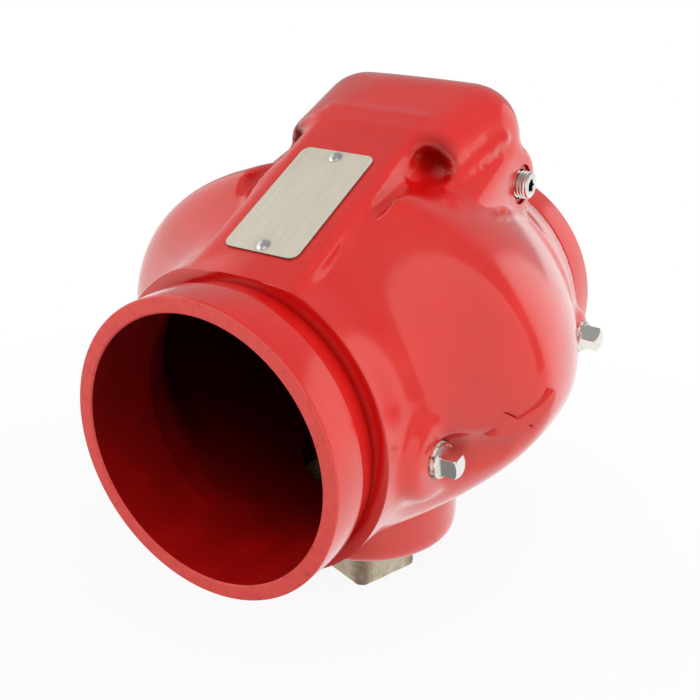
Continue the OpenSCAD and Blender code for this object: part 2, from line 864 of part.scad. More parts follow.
module clamp_bolt() {
    shank_end_y = hub_back_y - washer_t - nut_h - bolt_end;
    color([0.75, 0.75, 0.77]) rotate([-90, 0, 0]) {
        translate([0, 0, clamp_front_y + washer_t]) intersection() {
            across_flats(hex_af, bolt_head_h);
            cylinder(d1 = hex_af * 1.5, d2 = hex_af, h = bolt_head_h);
        }
        translate([0, 0, shank_end_y])
            cylinder(d = bolt_d, h = clamp_front_y + washer_t - shank_end_y + eps);
    }
}

module washer_at(y) {
    color([0.78, 0.78, 0.80]) translate([0, y, 0]) rotate([-90, 0, 0]) ring(washer_d, bolt_d, washer_t);
}

module clamp_bolt_washer() {
    washer_at(clamp_front_y);
}

module clamp_nut_washer() {
    washer_at(hub_back_y - washer_t);
}

module clamp_nut() {
    color([0.75, 0.75, 0.77]) translate([0, hub_back_y - washer_t - nut_h, 0]) rotate([-90, 0, 0])
        difference() {
            union() {
                translate([0, 0, nut_taper]) across_flats(hex_af, nut_h - nut_taper);
                cylinder(d1 = hex_af * 0.86, d2 = hex_af * 0.98, h = nut_taper);
            }
            translate([0, 0, -over]) cylinder(d = bolt_d, h = nut_h + 2 * over);
        }
}

valve_body();
seat_ring();
seat_o_ring();
hinge_pin();
hinge_spacer_left();
hinge_spacer_right();
closing_spring();
hinge_plug_left();
hinge_plug_right();
outlet_gauge_plug();
inlet_gauge_plug();
drain_plug();
nameplate();
nameplate_rivets();
clapper();
clapper_bush_left();
clapper_bush_right();
clapper_seal();
seal_clamp_plate();
clamp_bolt();
clamp_bolt_washer();
clamp_nut();
clamp_nut_washer();
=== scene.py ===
"""Grooved-end swing check valve in glossy red paint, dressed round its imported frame."""
import math
from contextlib import contextmanager

import bmesh
import bpy
from mathutils import Matrix, Vector


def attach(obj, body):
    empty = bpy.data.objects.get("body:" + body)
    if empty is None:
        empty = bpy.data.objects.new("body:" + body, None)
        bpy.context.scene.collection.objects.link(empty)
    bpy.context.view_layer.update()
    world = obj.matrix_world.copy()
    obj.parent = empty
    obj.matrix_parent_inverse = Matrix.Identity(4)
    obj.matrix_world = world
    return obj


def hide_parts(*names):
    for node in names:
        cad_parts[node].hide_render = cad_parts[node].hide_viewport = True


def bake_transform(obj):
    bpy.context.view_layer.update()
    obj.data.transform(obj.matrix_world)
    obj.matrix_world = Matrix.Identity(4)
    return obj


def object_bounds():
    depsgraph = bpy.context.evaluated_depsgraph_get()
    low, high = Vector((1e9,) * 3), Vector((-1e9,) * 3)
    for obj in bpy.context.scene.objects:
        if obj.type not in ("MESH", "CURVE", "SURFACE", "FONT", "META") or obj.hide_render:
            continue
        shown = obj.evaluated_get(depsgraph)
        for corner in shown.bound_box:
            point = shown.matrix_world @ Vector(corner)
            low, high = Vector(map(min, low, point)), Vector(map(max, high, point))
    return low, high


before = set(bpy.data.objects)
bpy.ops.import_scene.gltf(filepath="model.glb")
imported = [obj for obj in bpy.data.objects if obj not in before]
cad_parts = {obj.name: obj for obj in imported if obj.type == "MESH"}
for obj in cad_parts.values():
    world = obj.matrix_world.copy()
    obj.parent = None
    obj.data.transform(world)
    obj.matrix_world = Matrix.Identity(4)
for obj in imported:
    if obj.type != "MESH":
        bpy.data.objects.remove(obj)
cad_low, cad_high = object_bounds()

MM = 0.001

# Driving sizes of the valve, in millimetres, as in the frame; MIRROR takes the right side to the left

PIPE_OD = 114.3
LENGTH = 213.0
GASKET_SEAT = 15.88
GROOVE_W = 8.74
GROOVE_D = 110.08
BORE_D = 102.0
WALL = 7.0
SHOULDER_R = 61.5
SHOULDER_LOW = 58.5
SHOULDER_OUT_Y = GASKET_SEAT + GROOVE_W
SHOULDER_IN_Y = LENGTH - SHOULDER_OUT_Y
WIDEST_Y = 78.0
CHEEK_RISE = 35.0
CROWN_RISE = 22.5
CHEEK_LIFT = 10.0
PAD_Z = 75.0
PAD_SLOPE = math.radians(25.3)
PLATE_Y = 63.0
PLATE_T = 0.8
RIVET_R = 1.5
RIVETS_Y = (-25.4, 25.4)
HINGE_Y = 152.0
HINGE_Z = 68.2
MIRROR = Matrix.Scale(-1, 4, (1, 0, 0))


def deselect():
    """Nothing selected and nothing active, so that the next operator acts on new work only."""
    if bpy.context.mode != "OBJECT":
        bpy.ops.object.mode_set(mode="OBJECT")
    bpy.ops.object.select_all(action="DESELECT")


def take(obj):
    """Makes one object the only selected and the active one."""
    deselect()
    obj.select_set(True)
    bpy.context.view_layer.objects.active = obj
    return obj


def put_in_scene(name, data):
    obj = bpy.data.objects.new(name, data)
    bpy.context.scene.collection.objects.link(obj)
    return obj


def added():
    """The primitive that was just added, with its place and size moved into its mesh."""
    obj = take(bpy.context.object)
    bpy.ops.object.transform_apply(location=True, rotation=True, scale=True)
    return obj


@contextmanager
def editing(obj):
    """Edit mode on one object, with all of it selected."""
    take(obj)
    bpy.ops.object.mode_set(mode="EDIT")
    bpy.ops.mesh.select_all(action="SELECT")
    yield
    bpy.ops.object.mode_set(mode="OBJECT")


def join(parts):
    """One object out of several."""
    deselect()
    for part in parts:
        part.select_set(True)
    bpy.context.view_layer.objects.active = parts[0]
    bpy.ops.object.join()
    return parts[0]


def finish_modifier(obj, kind, **settings):
    """Adds one modifier and applies it."""
    take(obj)
    modifier = obj.modifiers.new(kind.title(), kind)
    for key, value in settings.items():
        setattr(modifier, key, value)
    bpy.ops.object.modifier_apply(modifier=modifier.name)
    return obj


def cut(obj, tool, operation="DIFFERENCE"):
    """Takes a tool's shape away from an object; the tool is used up, here and in the next two."""
    finish_modifier(obj, "BOOLEAN", object=tool, operation=operation, solver="MANIFOLD")
    bpy.data.objects.remove(tool)
    return obj


def weld(obj, other):
    return cut(obj, other, "UNION")


def trim(obj, mould):
    """Keeps only what lies inside the mould."""
    return cut(obj, mould, "INTERSECT")


def face_outward():
    """Turns every face of the mesh in edit mode outwards."""
    bpy.ops.mesh.select_all(action="SELECT")
    bpy.ops.mesh.normals_make_consistent(inside=False)


def outward(obj):
    """Merges doubles and turns every face outwards."""
    with editing(obj):
        bpy.ops.mesh.remove_doubles(threshold=0.01 * MM)
        face_outward()
    return obj


def smooth(obj, degrees):
    take(obj)
    bpy.ops.object.shade_smooth_by_angle(angle=math.radians(degrees))


def bevel(obj, width, segments=2, degrees=30):
    """Rounds every edge that is sharper than the angle."""
    return finish_modifier(obj, "BEVEL", width=width * MM, segments=segments, limit_method="ANGLE",
                           angle_limit=math.radians(degrees), harden_normals=False)


def move(obj, matrix):
    obj.data.transform(matrix)
    obj.data.update()
    return obj


def shift(x, y, z):
    return Matrix.Translation((x * MM, y * MM, z * MM))


def turn(degrees, axis):
    return Matrix.Rotation(math.radians(degrees), 4, axis)


# Frames of the casting: the sloping pad, things that look out along +X, and those on the hinge pin's axis

def pad_height(y):
    return PAD_Z + (y - PLATE_Y) * math.tan(PAD_SLOPE)


def on_pad(y):
    return shift(0, y, pad_height(y)) @ Matrix.Rotation(PAD_SLOPE, 4, "X")


def on_right(x, y, z):
    return shift(x, y, z) @ turn(90, "Y")


def on_hinge(x=0):
    return on_right(x, HINGE_Y, HINGE_Z)


# Primitives with their place in the mesh

def rod(radius, z0, z1, sides=96):
    """A cylinder about Z."""
    deselect()
    bpy.ops.mesh.primitive_cylinder_add(vertices=sides, radius=radius * MM, depth=(z1 - z0) * MM,
                                        location=(0, 0, (z0 + z1) / 2 * MM))
    return added()


def block(low, high):
    deselect()
    middle = [(a + b) / 2 * MM for a, b in zip(low, high)]
    bpy.ops.mesh.primitive_cube_add(size=1, location=middle)
    obj = bpy.context.object
    obj.scale = [(b - a) * MM for a, b in zip(low, high)]
    return added()


def ball(radius, x, y, z, segments=64):
    deselect()
    bpy.ops.mesh.primitive_uv_sphere_add(segments=segments, ring_count=segments // 2,
                                         radius=radius * MM, location=(x * MM, y * MM, z * MM))
    return added()


def arc(centre, radius, start, end, steps):
    """Points along a circle from one angle to another, in degrees."""
    angles = [math.radians(start + (end - start) * i / steps) for i in range(steps + 1)]
    return [(centre[0] + radius * math.cos(a), centre[1] + radius * math.sin(a)) for a in angles]


def outline(points, fill="NOTHING"):
    """A closed line through points: a circle with its vertices moved."""
    deselect()
    bpy.ops.mesh.primitive_circle_add(vertices=len(points), radius=1, fill_type=fill)
    obj = bpy.context.object
    for vertex, point in zip(obj.data.vertices, points):
        vertex.co = [c * MM for c in point]
    return obj


def revolve(profile, sides=128):
    """A turned shape: a closed outline of (radius, height) points spun about Z."""
    obj = outline([(radius, 0, height) for radius, height in profile])
    with editing(obj):
        bpy.ops.mesh.spin(steps=sides, angle=2 * math.pi, center=(0, 0, 0), axis=(0, 0, 1))
        bpy.ops.mesh.select_all(action="SELECT")
        bpy.ops.mesh.remove_doubles(threshold=0.005 * MM)
        bpy.ops.mesh.dissolve_degenerate(threshold=0.001 * MM)
        face_outward()
    return obj


def hull(parts):
    """The convex skin over several shapes."""
    obj = join(parts)
    with editing(obj):
        bpy.ops.mesh.convex_hull()
    return outward(obj)


# Chamber of the casting: a grid rolled into a tube whose sections swell and die away

FRONT_POWER = 5.0
BACK_POWER = 1.21
LOWER_POWER = 1.5
BELLY_DROP = 2.5
LOFT_END_Y = SHOULDER_IN_Y - 3


def swell(y):
    """0 at both shoulders and 1 at the widest section."""
    if y <= SHOULDER_OUT_Y or y >= LOFT_END_Y:
        return 0.0
    if y < WIDEST_Y:
        return math.sin(math.pi / 2 * (y - SHOULDER_OUT_Y) / (WIDEST_Y - SHOULDER_OUT_Y)) ** FRONT_POWER
    return math.sin(math.pi / 2 * (LOFT_END_Y - y) / (LOFT_END_Y - WIDEST_Y)) ** BACK_POWER


def chamber_point(y, angle, inset):
    """A point of the section at y, with the metal pared back by inset."""
    share = swell(y)
    middle = CHEEK_LIFT * share
    across, rise = math.cos(angle), math.sin(angle)
    half_w = SHOULDER_R + CHEEK_RISE * share - inset
    if rise >= 0:
        half_h, power = SHOULDER_R + CROWN_RISE * share - inset - middle, 2.0
    else:
        half_h, power = SHOULDER_LOW + BELLY_DROP * share - inset + middle, 2 + (LOWER_POWER - 2) * share
    x = half_w * math.copysign(abs(across) ** (2 / power), across)
    z = middle + half_h * math.copysign(abs(rise) ** (2 / power), rise)
    return Vector((x, y, z)) * MM


def chamber(y0, y1, inset, rings=110, sides=180):
    """The chamber's skin from y0 to y1, closed at both ends."""
    deselect()
    bpy.ops.mesh.primitive_grid_add(x_subdivisions=sides, y_subdivisions=rings, size=1)
    obj = bpy.context.object
    for vertex in obj.data.vertices:
        along, around = vertex.co.y + 0.5, vertex.co.x + 0.5
        vertex.co = chamber_point(y0 + (y1 - y0) * along, 2 * math.pi * around, inset)
    with editing(obj):
        bpy.ops.mesh.remove_doubles(threshold=0.002 * MM)
        bpy.ops.mesh.select_all(action="DESELECT")
        bpy.ops.mesh.select_non_manifold()
        bpy.ops.mesh.fill_holes(sides=0)
        face_outward()
    return obj


def pare(obj, point, normal):
    """Takes off everything on the normal's side of a plane and closes the cut."""
    with editing(obj):
        bpy.ops.mesh.bisect(plane_co=point, plane_no=normal, use_fill=True, clear_outer=True)
    return obj


# Materials

def material(name, color, **settings):
    """A material with constants on its shader's sockets, each named as the socket in small letters."""
    mat = bpy.data.materials.new(name)
    mat.use_nodes = True
    sockets = shader_of(mat).inputs
    sockets["Base Color"].default_value = (*color, 1)
    for key, value in settings.items():
        sockets[key.replace("_", " ").title().replace("Ior", "IOR")].default_value = value
    return mat


def shader_of(mat):
    return mat.node_tree.nodes["Principled BSDF"]


def add_node(owner, kind, inputs, **settings):
    """A new node of a material or the world; its inputs are sockets to link or plain values."""
    new = owner.node_tree.nodes.new("ShaderNode" + kind)
    for key, value in settings.items():
        setattr(new, key, value)
    for key, value in inputs.items():
        if isinstance(value, bpy.types.NodeSocket):
            owner.node_tree.links.new(value, new.inputs[key])
        else:
            new.inputs[key].default_value = value
    return new


def coordinates(owner, kind="Object"):
    return add_node(owner, "TexCoord", {}).outputs[kind]


def noise(mat, scale, detail=4.0, rough=0.55, stretch=(1, 1, 1)):
    """Noise on the object's own coordinates, with its scale in cells per metre."""
    mapping = add_node(mat, "Mapping", {"Vector": coordinates(mat), "Scale": stretch})
    return add_node(mat, "TexNoise", {"Vector": mapping.outputs["Vector"], "Scale": scale, "Detail": detail,
                                  "Roughness": rough}).outputs["Fac"]


def grey(value):
    return (value, value, value)


def ramp(mat, value, stops):
    """Colours by a value, from (value, colour or grey level) stops."""
    band = add_node(mat, "ValToRGB", {"Fac": value})
    elements = band.color_ramp.elements
    while len(elements) < len(stops):
        elements.new(0.5)
    for element, (position, color) in zip(elements, stops):
        element.position = position
        element.color = (*(grey(color) if isinstance(color, float) else color), 1)
    return band.outputs["Color"]


def feed(mat, value, socket):
    mat.node_tree.links.new(value, shader_of(mat).inputs[socket])


def relief(mat, layers):
    """Bump from several (height, strength, distance in mm) layers, one after the other."""
    below = {}
    for height, strength, distance in layers:
        bump = add_node(mat, "Bump", {"Height": height, "Strength": strength, "Distance": distance * MM,
                                      **below})
        below = {"Normal": bump.outputs["Normal"]}
    feed(mat, below["Normal"], "Normal")


def calculate(owner, operation, first, second):
    return add_node(owner, "Math", {0: first, 1: second}, operation=operation).outputs["Value"]


def blend_colors(mat, share, first, second, mode="MIX"):
    """Mixes two colour sockets by a share that is a socket or a number."""
    inputs = {0: share, 6: first, 7: second}
    return add_node(mat, "Mix", inputs, data_type="RGBA", blend_type=mode).outputs[2]


def times(mat, first, second):
    return blend_colors(mat, 1.0, first, second, "MULTIPLY")


def distance_from(mat, point, scale=(1, 1, 1), mirrored=False):
    """Distance in metres from a point given in millimetres, or from that and its mirror image."""
    value = coordinates(mat)
    if mirrored:
        value = add_node(mat, "VectorMath", {0: value}, operation="ABSOLUTE").outputs["Vector"]
    for operation, other in (("SUBTRACT", [c * MM for c in point]), ("MULTIPLY", scale)):
        value = add_node(mat, "VectorMath", {0: value, 1: other}, operation=operation).outputs["Vector"]
    return add_node(mat, "VectorMath", {0: value}, operation="LENGTH").outputs["Value"]


def recess(mat, reach, stops):
    """Grey levels that follow how deep in a recess the surface lies."""
    hollow = add_node(mat, "AmbientOcclusion", {"Distance": reach * MM}, samples=8)
    return ramp(mat, hollow.outputs["AO"], stops)


def beyond(mat, level, axis="Z"):
    """Distance past a level given in millimetres, in metres; a ramp takes all before it as 0."""
    parts = add_node(mat, "SeparateXYZ", {"Vector": coordinates(mat)})
    return calculate(mat, "SUBTRACT", parts.outputs[axis], level * MM)


def red_paint():
    """Thick gloss enamel over a sand casting: slow waves, orange peel, and painted shade in recesses and on
    their reflections.
    """
    mat = material("red_enamel", (0.70, 0.006, 0.005), roughness=0.2, coat_weight=0.6, coat_roughness=0.11,
                   specular_tint=(1, 0.82, 0.68, 1))
    tone = ramp(mat, noise(mat, 38, detail=3), [(0.32, (0.66, 0.005, 0.005)), (0.70, (0.74, 0.008, 0.006))])
    # painted shade: the colour darkens in recesses, and most in the pocket under each front corner of the
    # hood
    painted_recess_shade = recess(mat, 11, [(0.10, 0.25), (0.55, 0.80), (0.80, 1.0)])
    nook_shade = ramp(mat, distance_from(mat, (31, 106, 86), mirrored=True), [(0.004, 0.36), (0.011, 1.0)])
    feed(mat, times(mat, times(mat, tone, painted_recess_shade), nook_shade), "Base Color")
    # painted shade on the reflections: the gloss and the clear coat fade out in recesses and in that pocket
    nook_reflection_shade = ramp(mat, distance_from(mat, (30, 104, 84.5), mirrored=True), [(0.006, 0.0), (0.009, 1.0)])
    gloss = times(mat, recess(mat, 11, [(0.35, 0.0), (0.75, 0.9)]), nook_reflection_shade)
    feed(mat, gloss, "Specular IOR Level")
    feed(mat, calculate(mat, "MULTIPLY", gloss, 0.7), "Coat Weight")
    feed(mat, ramp(mat, noise(mat, 160), [(0.3, 0.16), (0.75, 0.24)]), "Roughness")
    relief(mat, [(noise(mat, 45, detail=2), 0.25, 0.9), (noise(mat, 420, detail=2), 0.15, 0.12)])
    return mat


def finish(name, color, roughness, grain, tones, bumps=(), **settings):
    """A finish whose colour follows one noise, over reliefs of (scale, detail, strength, depth in mm)."""
    mat = material(name, color, roughness=roughness, **settings)
    feed(mat, ramp(mat, noise(mat, *grain), tones), "Base Color")
    if bumps:
        relief(mat, [(noise(mat, scale, detail), *depths) for scale, detail, *depths in bumps])
    return mat


def lip_paint():
    """The end faces: the same enamel over a turned face, rubbed dull in places."""
    return finish("red_enamel_worn", (0.72, 0.05, 0.04), 0.5, (210, 8, 0.7),
                  [(0.32, (0.34, 0.03, 0.025)), (0.41, (0.74, 0.055, 0.045)), (0.72, (0.80, 0.085, 0.07))],
                  [(300, 6, 0.4, 0.15)])


def bore_paint():
    """Inside the waterway: thin, rough red, painted darker than the outside as shade, and darker still up
    from its floor and further in.
    """
    mat = material("bore_enamel", (0.42, 0.002, 0.002), roughness=0.6, specular_ior_level=0.12)
    tone = ramp(mat, noise(mat, 60), [(0.35, (0.38, 0.002, 0.002)), (0.7, (0.50, 0.003, 0.003))])
    # painted shade: the bore darkens up from its floor and further in from the outlet end
    shade_up_from_floor = ramp(mat, beyond(mat, -BORE_D / 2), [(0.0, 1.0), (0.045, 0.50), (0.09, 0.35)])
    shade_further_in = ramp(mat, beyond(mat, 0, "Y"), [(0.030, 1.0), (0.085, 0.30)])
    feed(mat, times(mat, tone, times(mat, shade_up_from_floor, shade_further_in)), "Base Color")
    relief(mat, [(noise(mat, 260, detail=6), 0.5, 0.3)])
    return mat


RED, LIP, BORE = 0, 1, 2
CASTING_COATS = [red_paint(), lip_paint(), bore_paint()]


def coat(obj, index, coats=CASTING_COATS):
    """Gives a shape all the coats of its piece and paints it with one."""
    obj.data.materials.clear()
    for mat in coats:
        obj.data.materials.append(mat)
    for polygon in obj.data.polygons:
        polygon.material_index = index
    return obj


# The casting

VOXEL = 1.5
HOOD_HALF_W = 45.0
HOOD_R = 24.0
HOOD_BACK_Y = HINGE_Y - 8
HOOD_BACK_DROP = 2.9
HOOD_SIDE_R = 21.0
HOOD_SIDE_DROP = 5.4
HOOD_FRONT_R = 17.0
HOOD_FRONT_HALF_W = 38.5
HOOD_FRONT_Y = HINGE_Y - 38
HOOD_FRONT_LIFT = 0.4
HOOD_CROWN_X = 10.0
HOOD_FOOT_Z = 40.0
PAD_HALF_W = 24.0
PAD_EDGE_R = 5.0
PAD_SHARP_R = 2.6
PIN_BOSS_R = 15.1
PIN_BOSS_X = 46.9
BOSS_ROUND = 4.0
SEAT_Y = 165.0
SEAT_R = 55.0
SEAT_BACK_Y = 175.0
CLAPPER_FACE_Y = SEAT_Y - 0.1
DISC_FRONT_Y = CLAPPER_FACE_Y - 5
DISC_BACK_Y = DISC_FRONT_Y - 5
CLAPPER_R = 57.0
CLAPPER_SPACE_R = 61.5
SEAT_SWELL_R = 68.5
SWELL_ROOT_Y = SEAT_Y - 69
SWELL_TOP_Y = SEAT_Y - 31
OUTLET_BORE_L = 32.0
DRAIN_Y = 110.8
DRAIN_R = 39.9
DRAIN_DEPTH = 83.0
DRAIN_THREAD_R = 29.0
TAP_R = 6.6
TAP_DEPTH = 11.0
TAP_CORE_R = 3.0
TAP_CORE_L = 27.0
PIN_BORE_R = 5.05
PIN_TAP_R = 5.65
PIN_HALF = 34.0
EAR_R = 10.5
EAR_X0 = 12.0
EAR_X1 = 24.0
COIL_R = 8.5
COIL_HALF = 9.0
COIL_TURNS = 6
WIRE_R = 1.25
OPEN_ANGLE = 75.0
INLET_SHOULDER_R = 61.0
OUTLET_TAP = (66.96, 50.0, -5.0)
INLET_TAP = (67.0, 181.0, -4.0)
PAD_UP = Vector((0, -math.sin(PAD_SLOPE), math.cos(PAD_SLOPE)))
AT_DRAIN = shift(0, DRAIN_Y, -DRAIN_DEPTH)


def along(obj):
    """Turns a shape made about Z to lie along the waterway, its height becoming the distance."""
    return move(obj, turn(-90, "X"))


def both_sides(make):
    """A right-hand shape and its mirror image."""
    left = move(make(), MIRROR)
    return [make(), outward(left)]


def under_pad(y, radius):
    """Height for a ball whose top touches the pad's plane."""
    return pad_height(y) - radius / math.cos(PAD_SLOPE)


def pad_point(drop):
    """A point below the pad's middle, square to its face."""
    return (Vector((0, PLATE_Y, PAD_Z)) - drop * PAD_UP) * MM


def post(x, y, z, radius):
    """A round-topped post that stands on the hood's foot."""
    foot = move(rod(radius, HOOD_FOOT_Z, z, 64), shift(x, y, 0))
    return [ball(radius, x, y, z), foot]


def hood(inset, back_y, setback=0):
    """Housing over the hinge: the skin over three pairs of posts and a block that reaches to back_y."""
    side_y = HOOD_BACK_Y + HOOD_R - HOOD_SIDE_R
    front_y = HOOD_FRONT_Y + setback
    back_z = under_pad(HOOD_BACK_Y, HOOD_R) - HOOD_BACK_DROP
    side_z = under_pad(side_y, HOOD_SIDE_R) - HOOD_SIDE_DROP
    front_z = under_pad(front_y, HOOD_FRONT_R) + HOOD_FRONT_LIFT
    parts = []
    for side in (-1, 1):
        parts += post(side * HOOD_CROWN_X, HOOD_BACK_Y, back_z, HOOD_R - inset)
        parts += post(side * (HOOD_HALF_W - HOOD_SIDE_R), side_y, side_z, HOOD_SIDE_R - inset)
        parts += post(side * (HOOD_FRONT_HALF_W - HOOD_FRONT_R), front_y, front_z, HOOD_FRONT_R - inset)
    block_half_w = HOOD_HALF_W - 10
    parts.append(block((-block_half_w, HINGE_Y, HOOD_FOOT_Z), (block_half_w, back_y, HINGE_Z + 12)))
    return hull(parts)


def pad_ridge(edge_r):
    """The pad that carries the nameplate, with round edges, up to the hood's front."""
    start_y, root_half_w = 16.0, 30
    length = (HOOD_FRONT_Y + 2 - start_y) / math.cos(PAD_SLOPE)
    parts = []
    for side in (-1, 1):
        edge = along(rod(edge_r, 0, length, 48))
        parts.append(move(edge, shift(side * (PAD_HALF_W - edge_r), 0, -edge_r)))
    parts.append(block((-root_half_w, 36, -34), (root_half_w, length, -32)))
    return move(hull(parts), on_pad(start_y))


def pad_crown():
    """Low round rise by which the pad runs out into the round shoulder of the outlet."""
    radius, rise, slope, start_y = 169, 1.7, 19.5, SHOULDER_OUT_Y - 2
    crown = along(rod(radius, 0, 24, 720))
    trim(crown, block((-24, 0, radius - 9), (24, 24, radius + 1)))
    top = shift(0, start_y, pad_height(start_y) + rise)
    return move(crown, top @ turn(slope, "X") @ shift(0, 0, -radius))


def pin_boss():
    """Boss of the hinge pin with its two webs: one down the back, one forward into the cheek."""
    rounding = arc((PIN_BOSS_R - BOSS_ROUND, PIN_BOSS_X - BOSS_ROUND), BOSS_ROUND, 0, 90, 6)
    boss = move(revolve([(0, 0), (PIN_BOSS_R, 0), *rounding, (0, PIN_BOSS_X)], 96), on_hinge())
    back_web = hull([
        move(rod(PIN_BOSS_R - 2, 0, 12), on_hinge(PIN_BOSS_X - 16)),
        move(rod(4, 0, 20), on_right(20, HINGE_Y + 14, HINGE_Z - 34)),
    ])
    cheek_web = hull([
        move(rod(13.5, 0, 18.5), on_right(PIN_BOSS_X - 19.5, HINGE_Y - 5, HINGE_Z + 3)),
        ball(10, HOOD_FRONT_HALF_W + 2.5, HOOD_FRONT_Y - 12, SHOULDER_R + 1.5),
    ])
    return join([boss, back_web, cheek_web])


def pebble(balls):
    """The skin over balls given as (radius, x, y, z)."""
    return hull([ball(*size_and_place, 32) for size_and_place in balls])


def strand(radius, points):
    """A round strand through a few points."""
    pieces = [pebble([(radius, *start), (radius, *end)]) for start, end in zip(points, points[1:])]
    for piece in pieces[1:]:
        weld(pieces[0], piece)
    return pieces[0]


def hood_bead():
    """The bead along the foot of the hood's side, from its front corner back to the pin boss."""
    return strand(2.6, [(37.4, 108.5, 76.6), (40.0, 124.4, 83.0), (43.0, 140.6, 89.0)])


def hood_groove():
    """The shallow groove over the bead."""
    return strand(3.4, [(40.4, 110.5, 80.2), (42.5, 121.6, 86.1), (44.2, 132.4, 91.2)])


def nook():
    """The deep pocket under the hood's front corner and the hollow that runs out of it along the pad."""
    pocket = pebble([(6.0, 30.5, 101.0, 86.0), (4.5, 34.5, 106.0, 81.5), (4.5, 29.5, 95.0, 82.0)])
    hollow = pebble([(4.5, 29.5, 95.0, 83.0), (4.0, 29.0, 78.0, 79.0), (3.0, 28.5, 60.0, 73.5)])
    return weld(pocket, hollow)


def gauge_boss(tap, radius, depth):
    """Boss of a gauge tapping, about an axis along +X, with a broken edge."""
    x, y, z = tap
    profile = [(0, 0), (radius, 0), (radius, depth - 3), (radius - 3, depth), (0, depth)]
    return move(revolve(profile, 64), on_right(x - depth, y, z))


def drain_boss():
    edge, top = 5.0, DRAIN_DEPTH - 20
    profile = [(0, 0), *arc((DRAIN_R - edge, edge), edge, -90, 0, 8), (DRAIN_R, top), (0, top)]
    return move(revolve(profile), AT_DRAIN)


def fillet(obj, rounds, voxel):
    """Gives a shape one new skin with soft fillets, the softer the more rounds."""
    finish_modifier(obj, "REMESH", mode="VOXEL", voxel_size=voxel * MM, adaptivity=0)
    return finish_modifier(obj, "SMOOTH", factor=0.5, iterations=rounds)


def grown(parts, rounds, voxel=VOXEL):
    """Grows parts together into one rough casting."""
    return fillet(join(parts), rounds, voxel)


def face_off(obj, y, side):
    """Cuts a shape off square to the waterway and keeps what lies behind the cut."""
    return pare(obj, Vector((0, y, 0)) * MM, Vector((0, side, 0)))


def rough_casting():
    """All the cast forms grown together, first the great masses and then the small ones."""
    cheeks = pare(chamber(16, LOFT_END_Y, 0), pad_point(0.25), PAD_UP)
    swell_end_y = SHOULDER_IN_Y + 6
    seat_swell = along(revolve([
        (0, 60), (54, 60), (54, SWELL_ROOT_Y), (SEAT_SWELL_R, SWELL_TOP_Y), (SEAT_SWELL_R, SEAT_Y + 2),
        (INLET_SHOULDER_R, SHOULDER_IN_Y), (INLET_SHOULDER_R - 1, swell_end_y), (0, swell_end_y)]))
    outlet_boss = face_off(gauge_boss(OUTLET_TAP, 17.5, 30), SHOULDER_OUT_Y - 2, -1)
    inlet_boss = face_off(gauge_boss(INLET_TAP, 12, 16), SHOULDER_IN_Y + 2, 1)
    skin = grown([
        cheeks, seat_swell, hood(0, HOOD_BACK_Y + HOOD_R - 0.5), pad_ridge(PAD_EDGE_R), pad_crown(),
        *both_sides(pin_boss), outlet_boss, inlet_boss, drain_boss()], 12)
    cut(skin, join(both_sides(nook)))
    cut(skin, join(both_sides(hood_groove)))
    outlet_spot_face = revolve([(0, 0), (8.2, 0), (8.8, 0.5), (17, 16), (20, 24), (0, 24)], 64)
    cut(skin, move(outlet_spot_face, on_right(*OUTLET_TAP)))
    return grown([skin, pad_ridge(PAD_SHARP_R), *both_sides(hood_bead)], 4)


def square_shoulder(skin, y, out):
    """Faces the casting off at a coupling groove and breaks the new edge."""
    with editing(face_off(skin, y, out)):
        bpy.ops.mesh.select_all(action="DESELECT")
        mesh = bmesh.from_edit_mesh(skin.data)
        for edge in mesh.edges:
            on_plane = all(abs(v.co.y - y * MM) < 0.001 * MM for v in edge.verts)
            if on_plane and len(edge.link_faces) == 2:
                edge.select = edge.calc_face_angle(0) > math.radians(30)
        bmesh.update_edit_mesh(skin.data)
        bpy.ops.mesh.select_mode(type="EDGE")
        bpy.ops.mesh.bevel(offset=0.4 * MM, segments=3, affect="EDGES")
        bpy.ops.mesh.select_mode(type="VERT")


def grooved_end():
    """The turned end of the outlet: rounded lip, gasket seat and the floor of the groove."""
    lip, edge, root_y = 1.0, 0.8, SHOULDER_OUT_Y + 14
    profile = [(0, 0), *arc((PIPE_OD / 2 - lip, lip), lip, -90, 0, 6),
               *arc((PIPE_OD / 2 - edge, GASKET_SEAT - edge), edge, 0, 90, 6),
               (GROOVE_D / 2, GASKET_SEAT), (GROOVE_D / 2, root_y), (0, root_y)]
    return along(revolve(profile, 192))


def clapper_stops():
    """Pads under the outlet's roof that the clapper's rim meets when it is fully open."""
    def pad():
        front_y = DISC_BACK_Y - HINGE_Y - 0.3
        low_z = 9 - HINGE_Z - CLAPPER_R
        stop = block((34, front_y - 20, low_z), (52, front_y, low_z + 14))
        bevel(stop, 2, 4)
        return move(stop, shift(0, HINGE_Y, HINGE_Z) @ turn(-OPEN_ANGLE, "X"))
    return join(both_sides(pad))


def hinge_pocket():
    """The hollow of the hood, less the bosses beside the ears and the lug that holds the spring."""
    pocket = hood(WALL, HINGE_Y + EAR_R + 2, setback=10)
    bosses = both_sides(lambda: move(rod(EAR_R, EAR_X1 + 2, 80, 64), on_hinge()))
    lug_y = HINGE_Y - COIL_R - WIRE_R
    lug = block((2, lug_y - 8, HINGE_Z + 12), (10, lug_y, HINGE_Z + 57))
    return cut(pocket, join(bosses + [lug]))


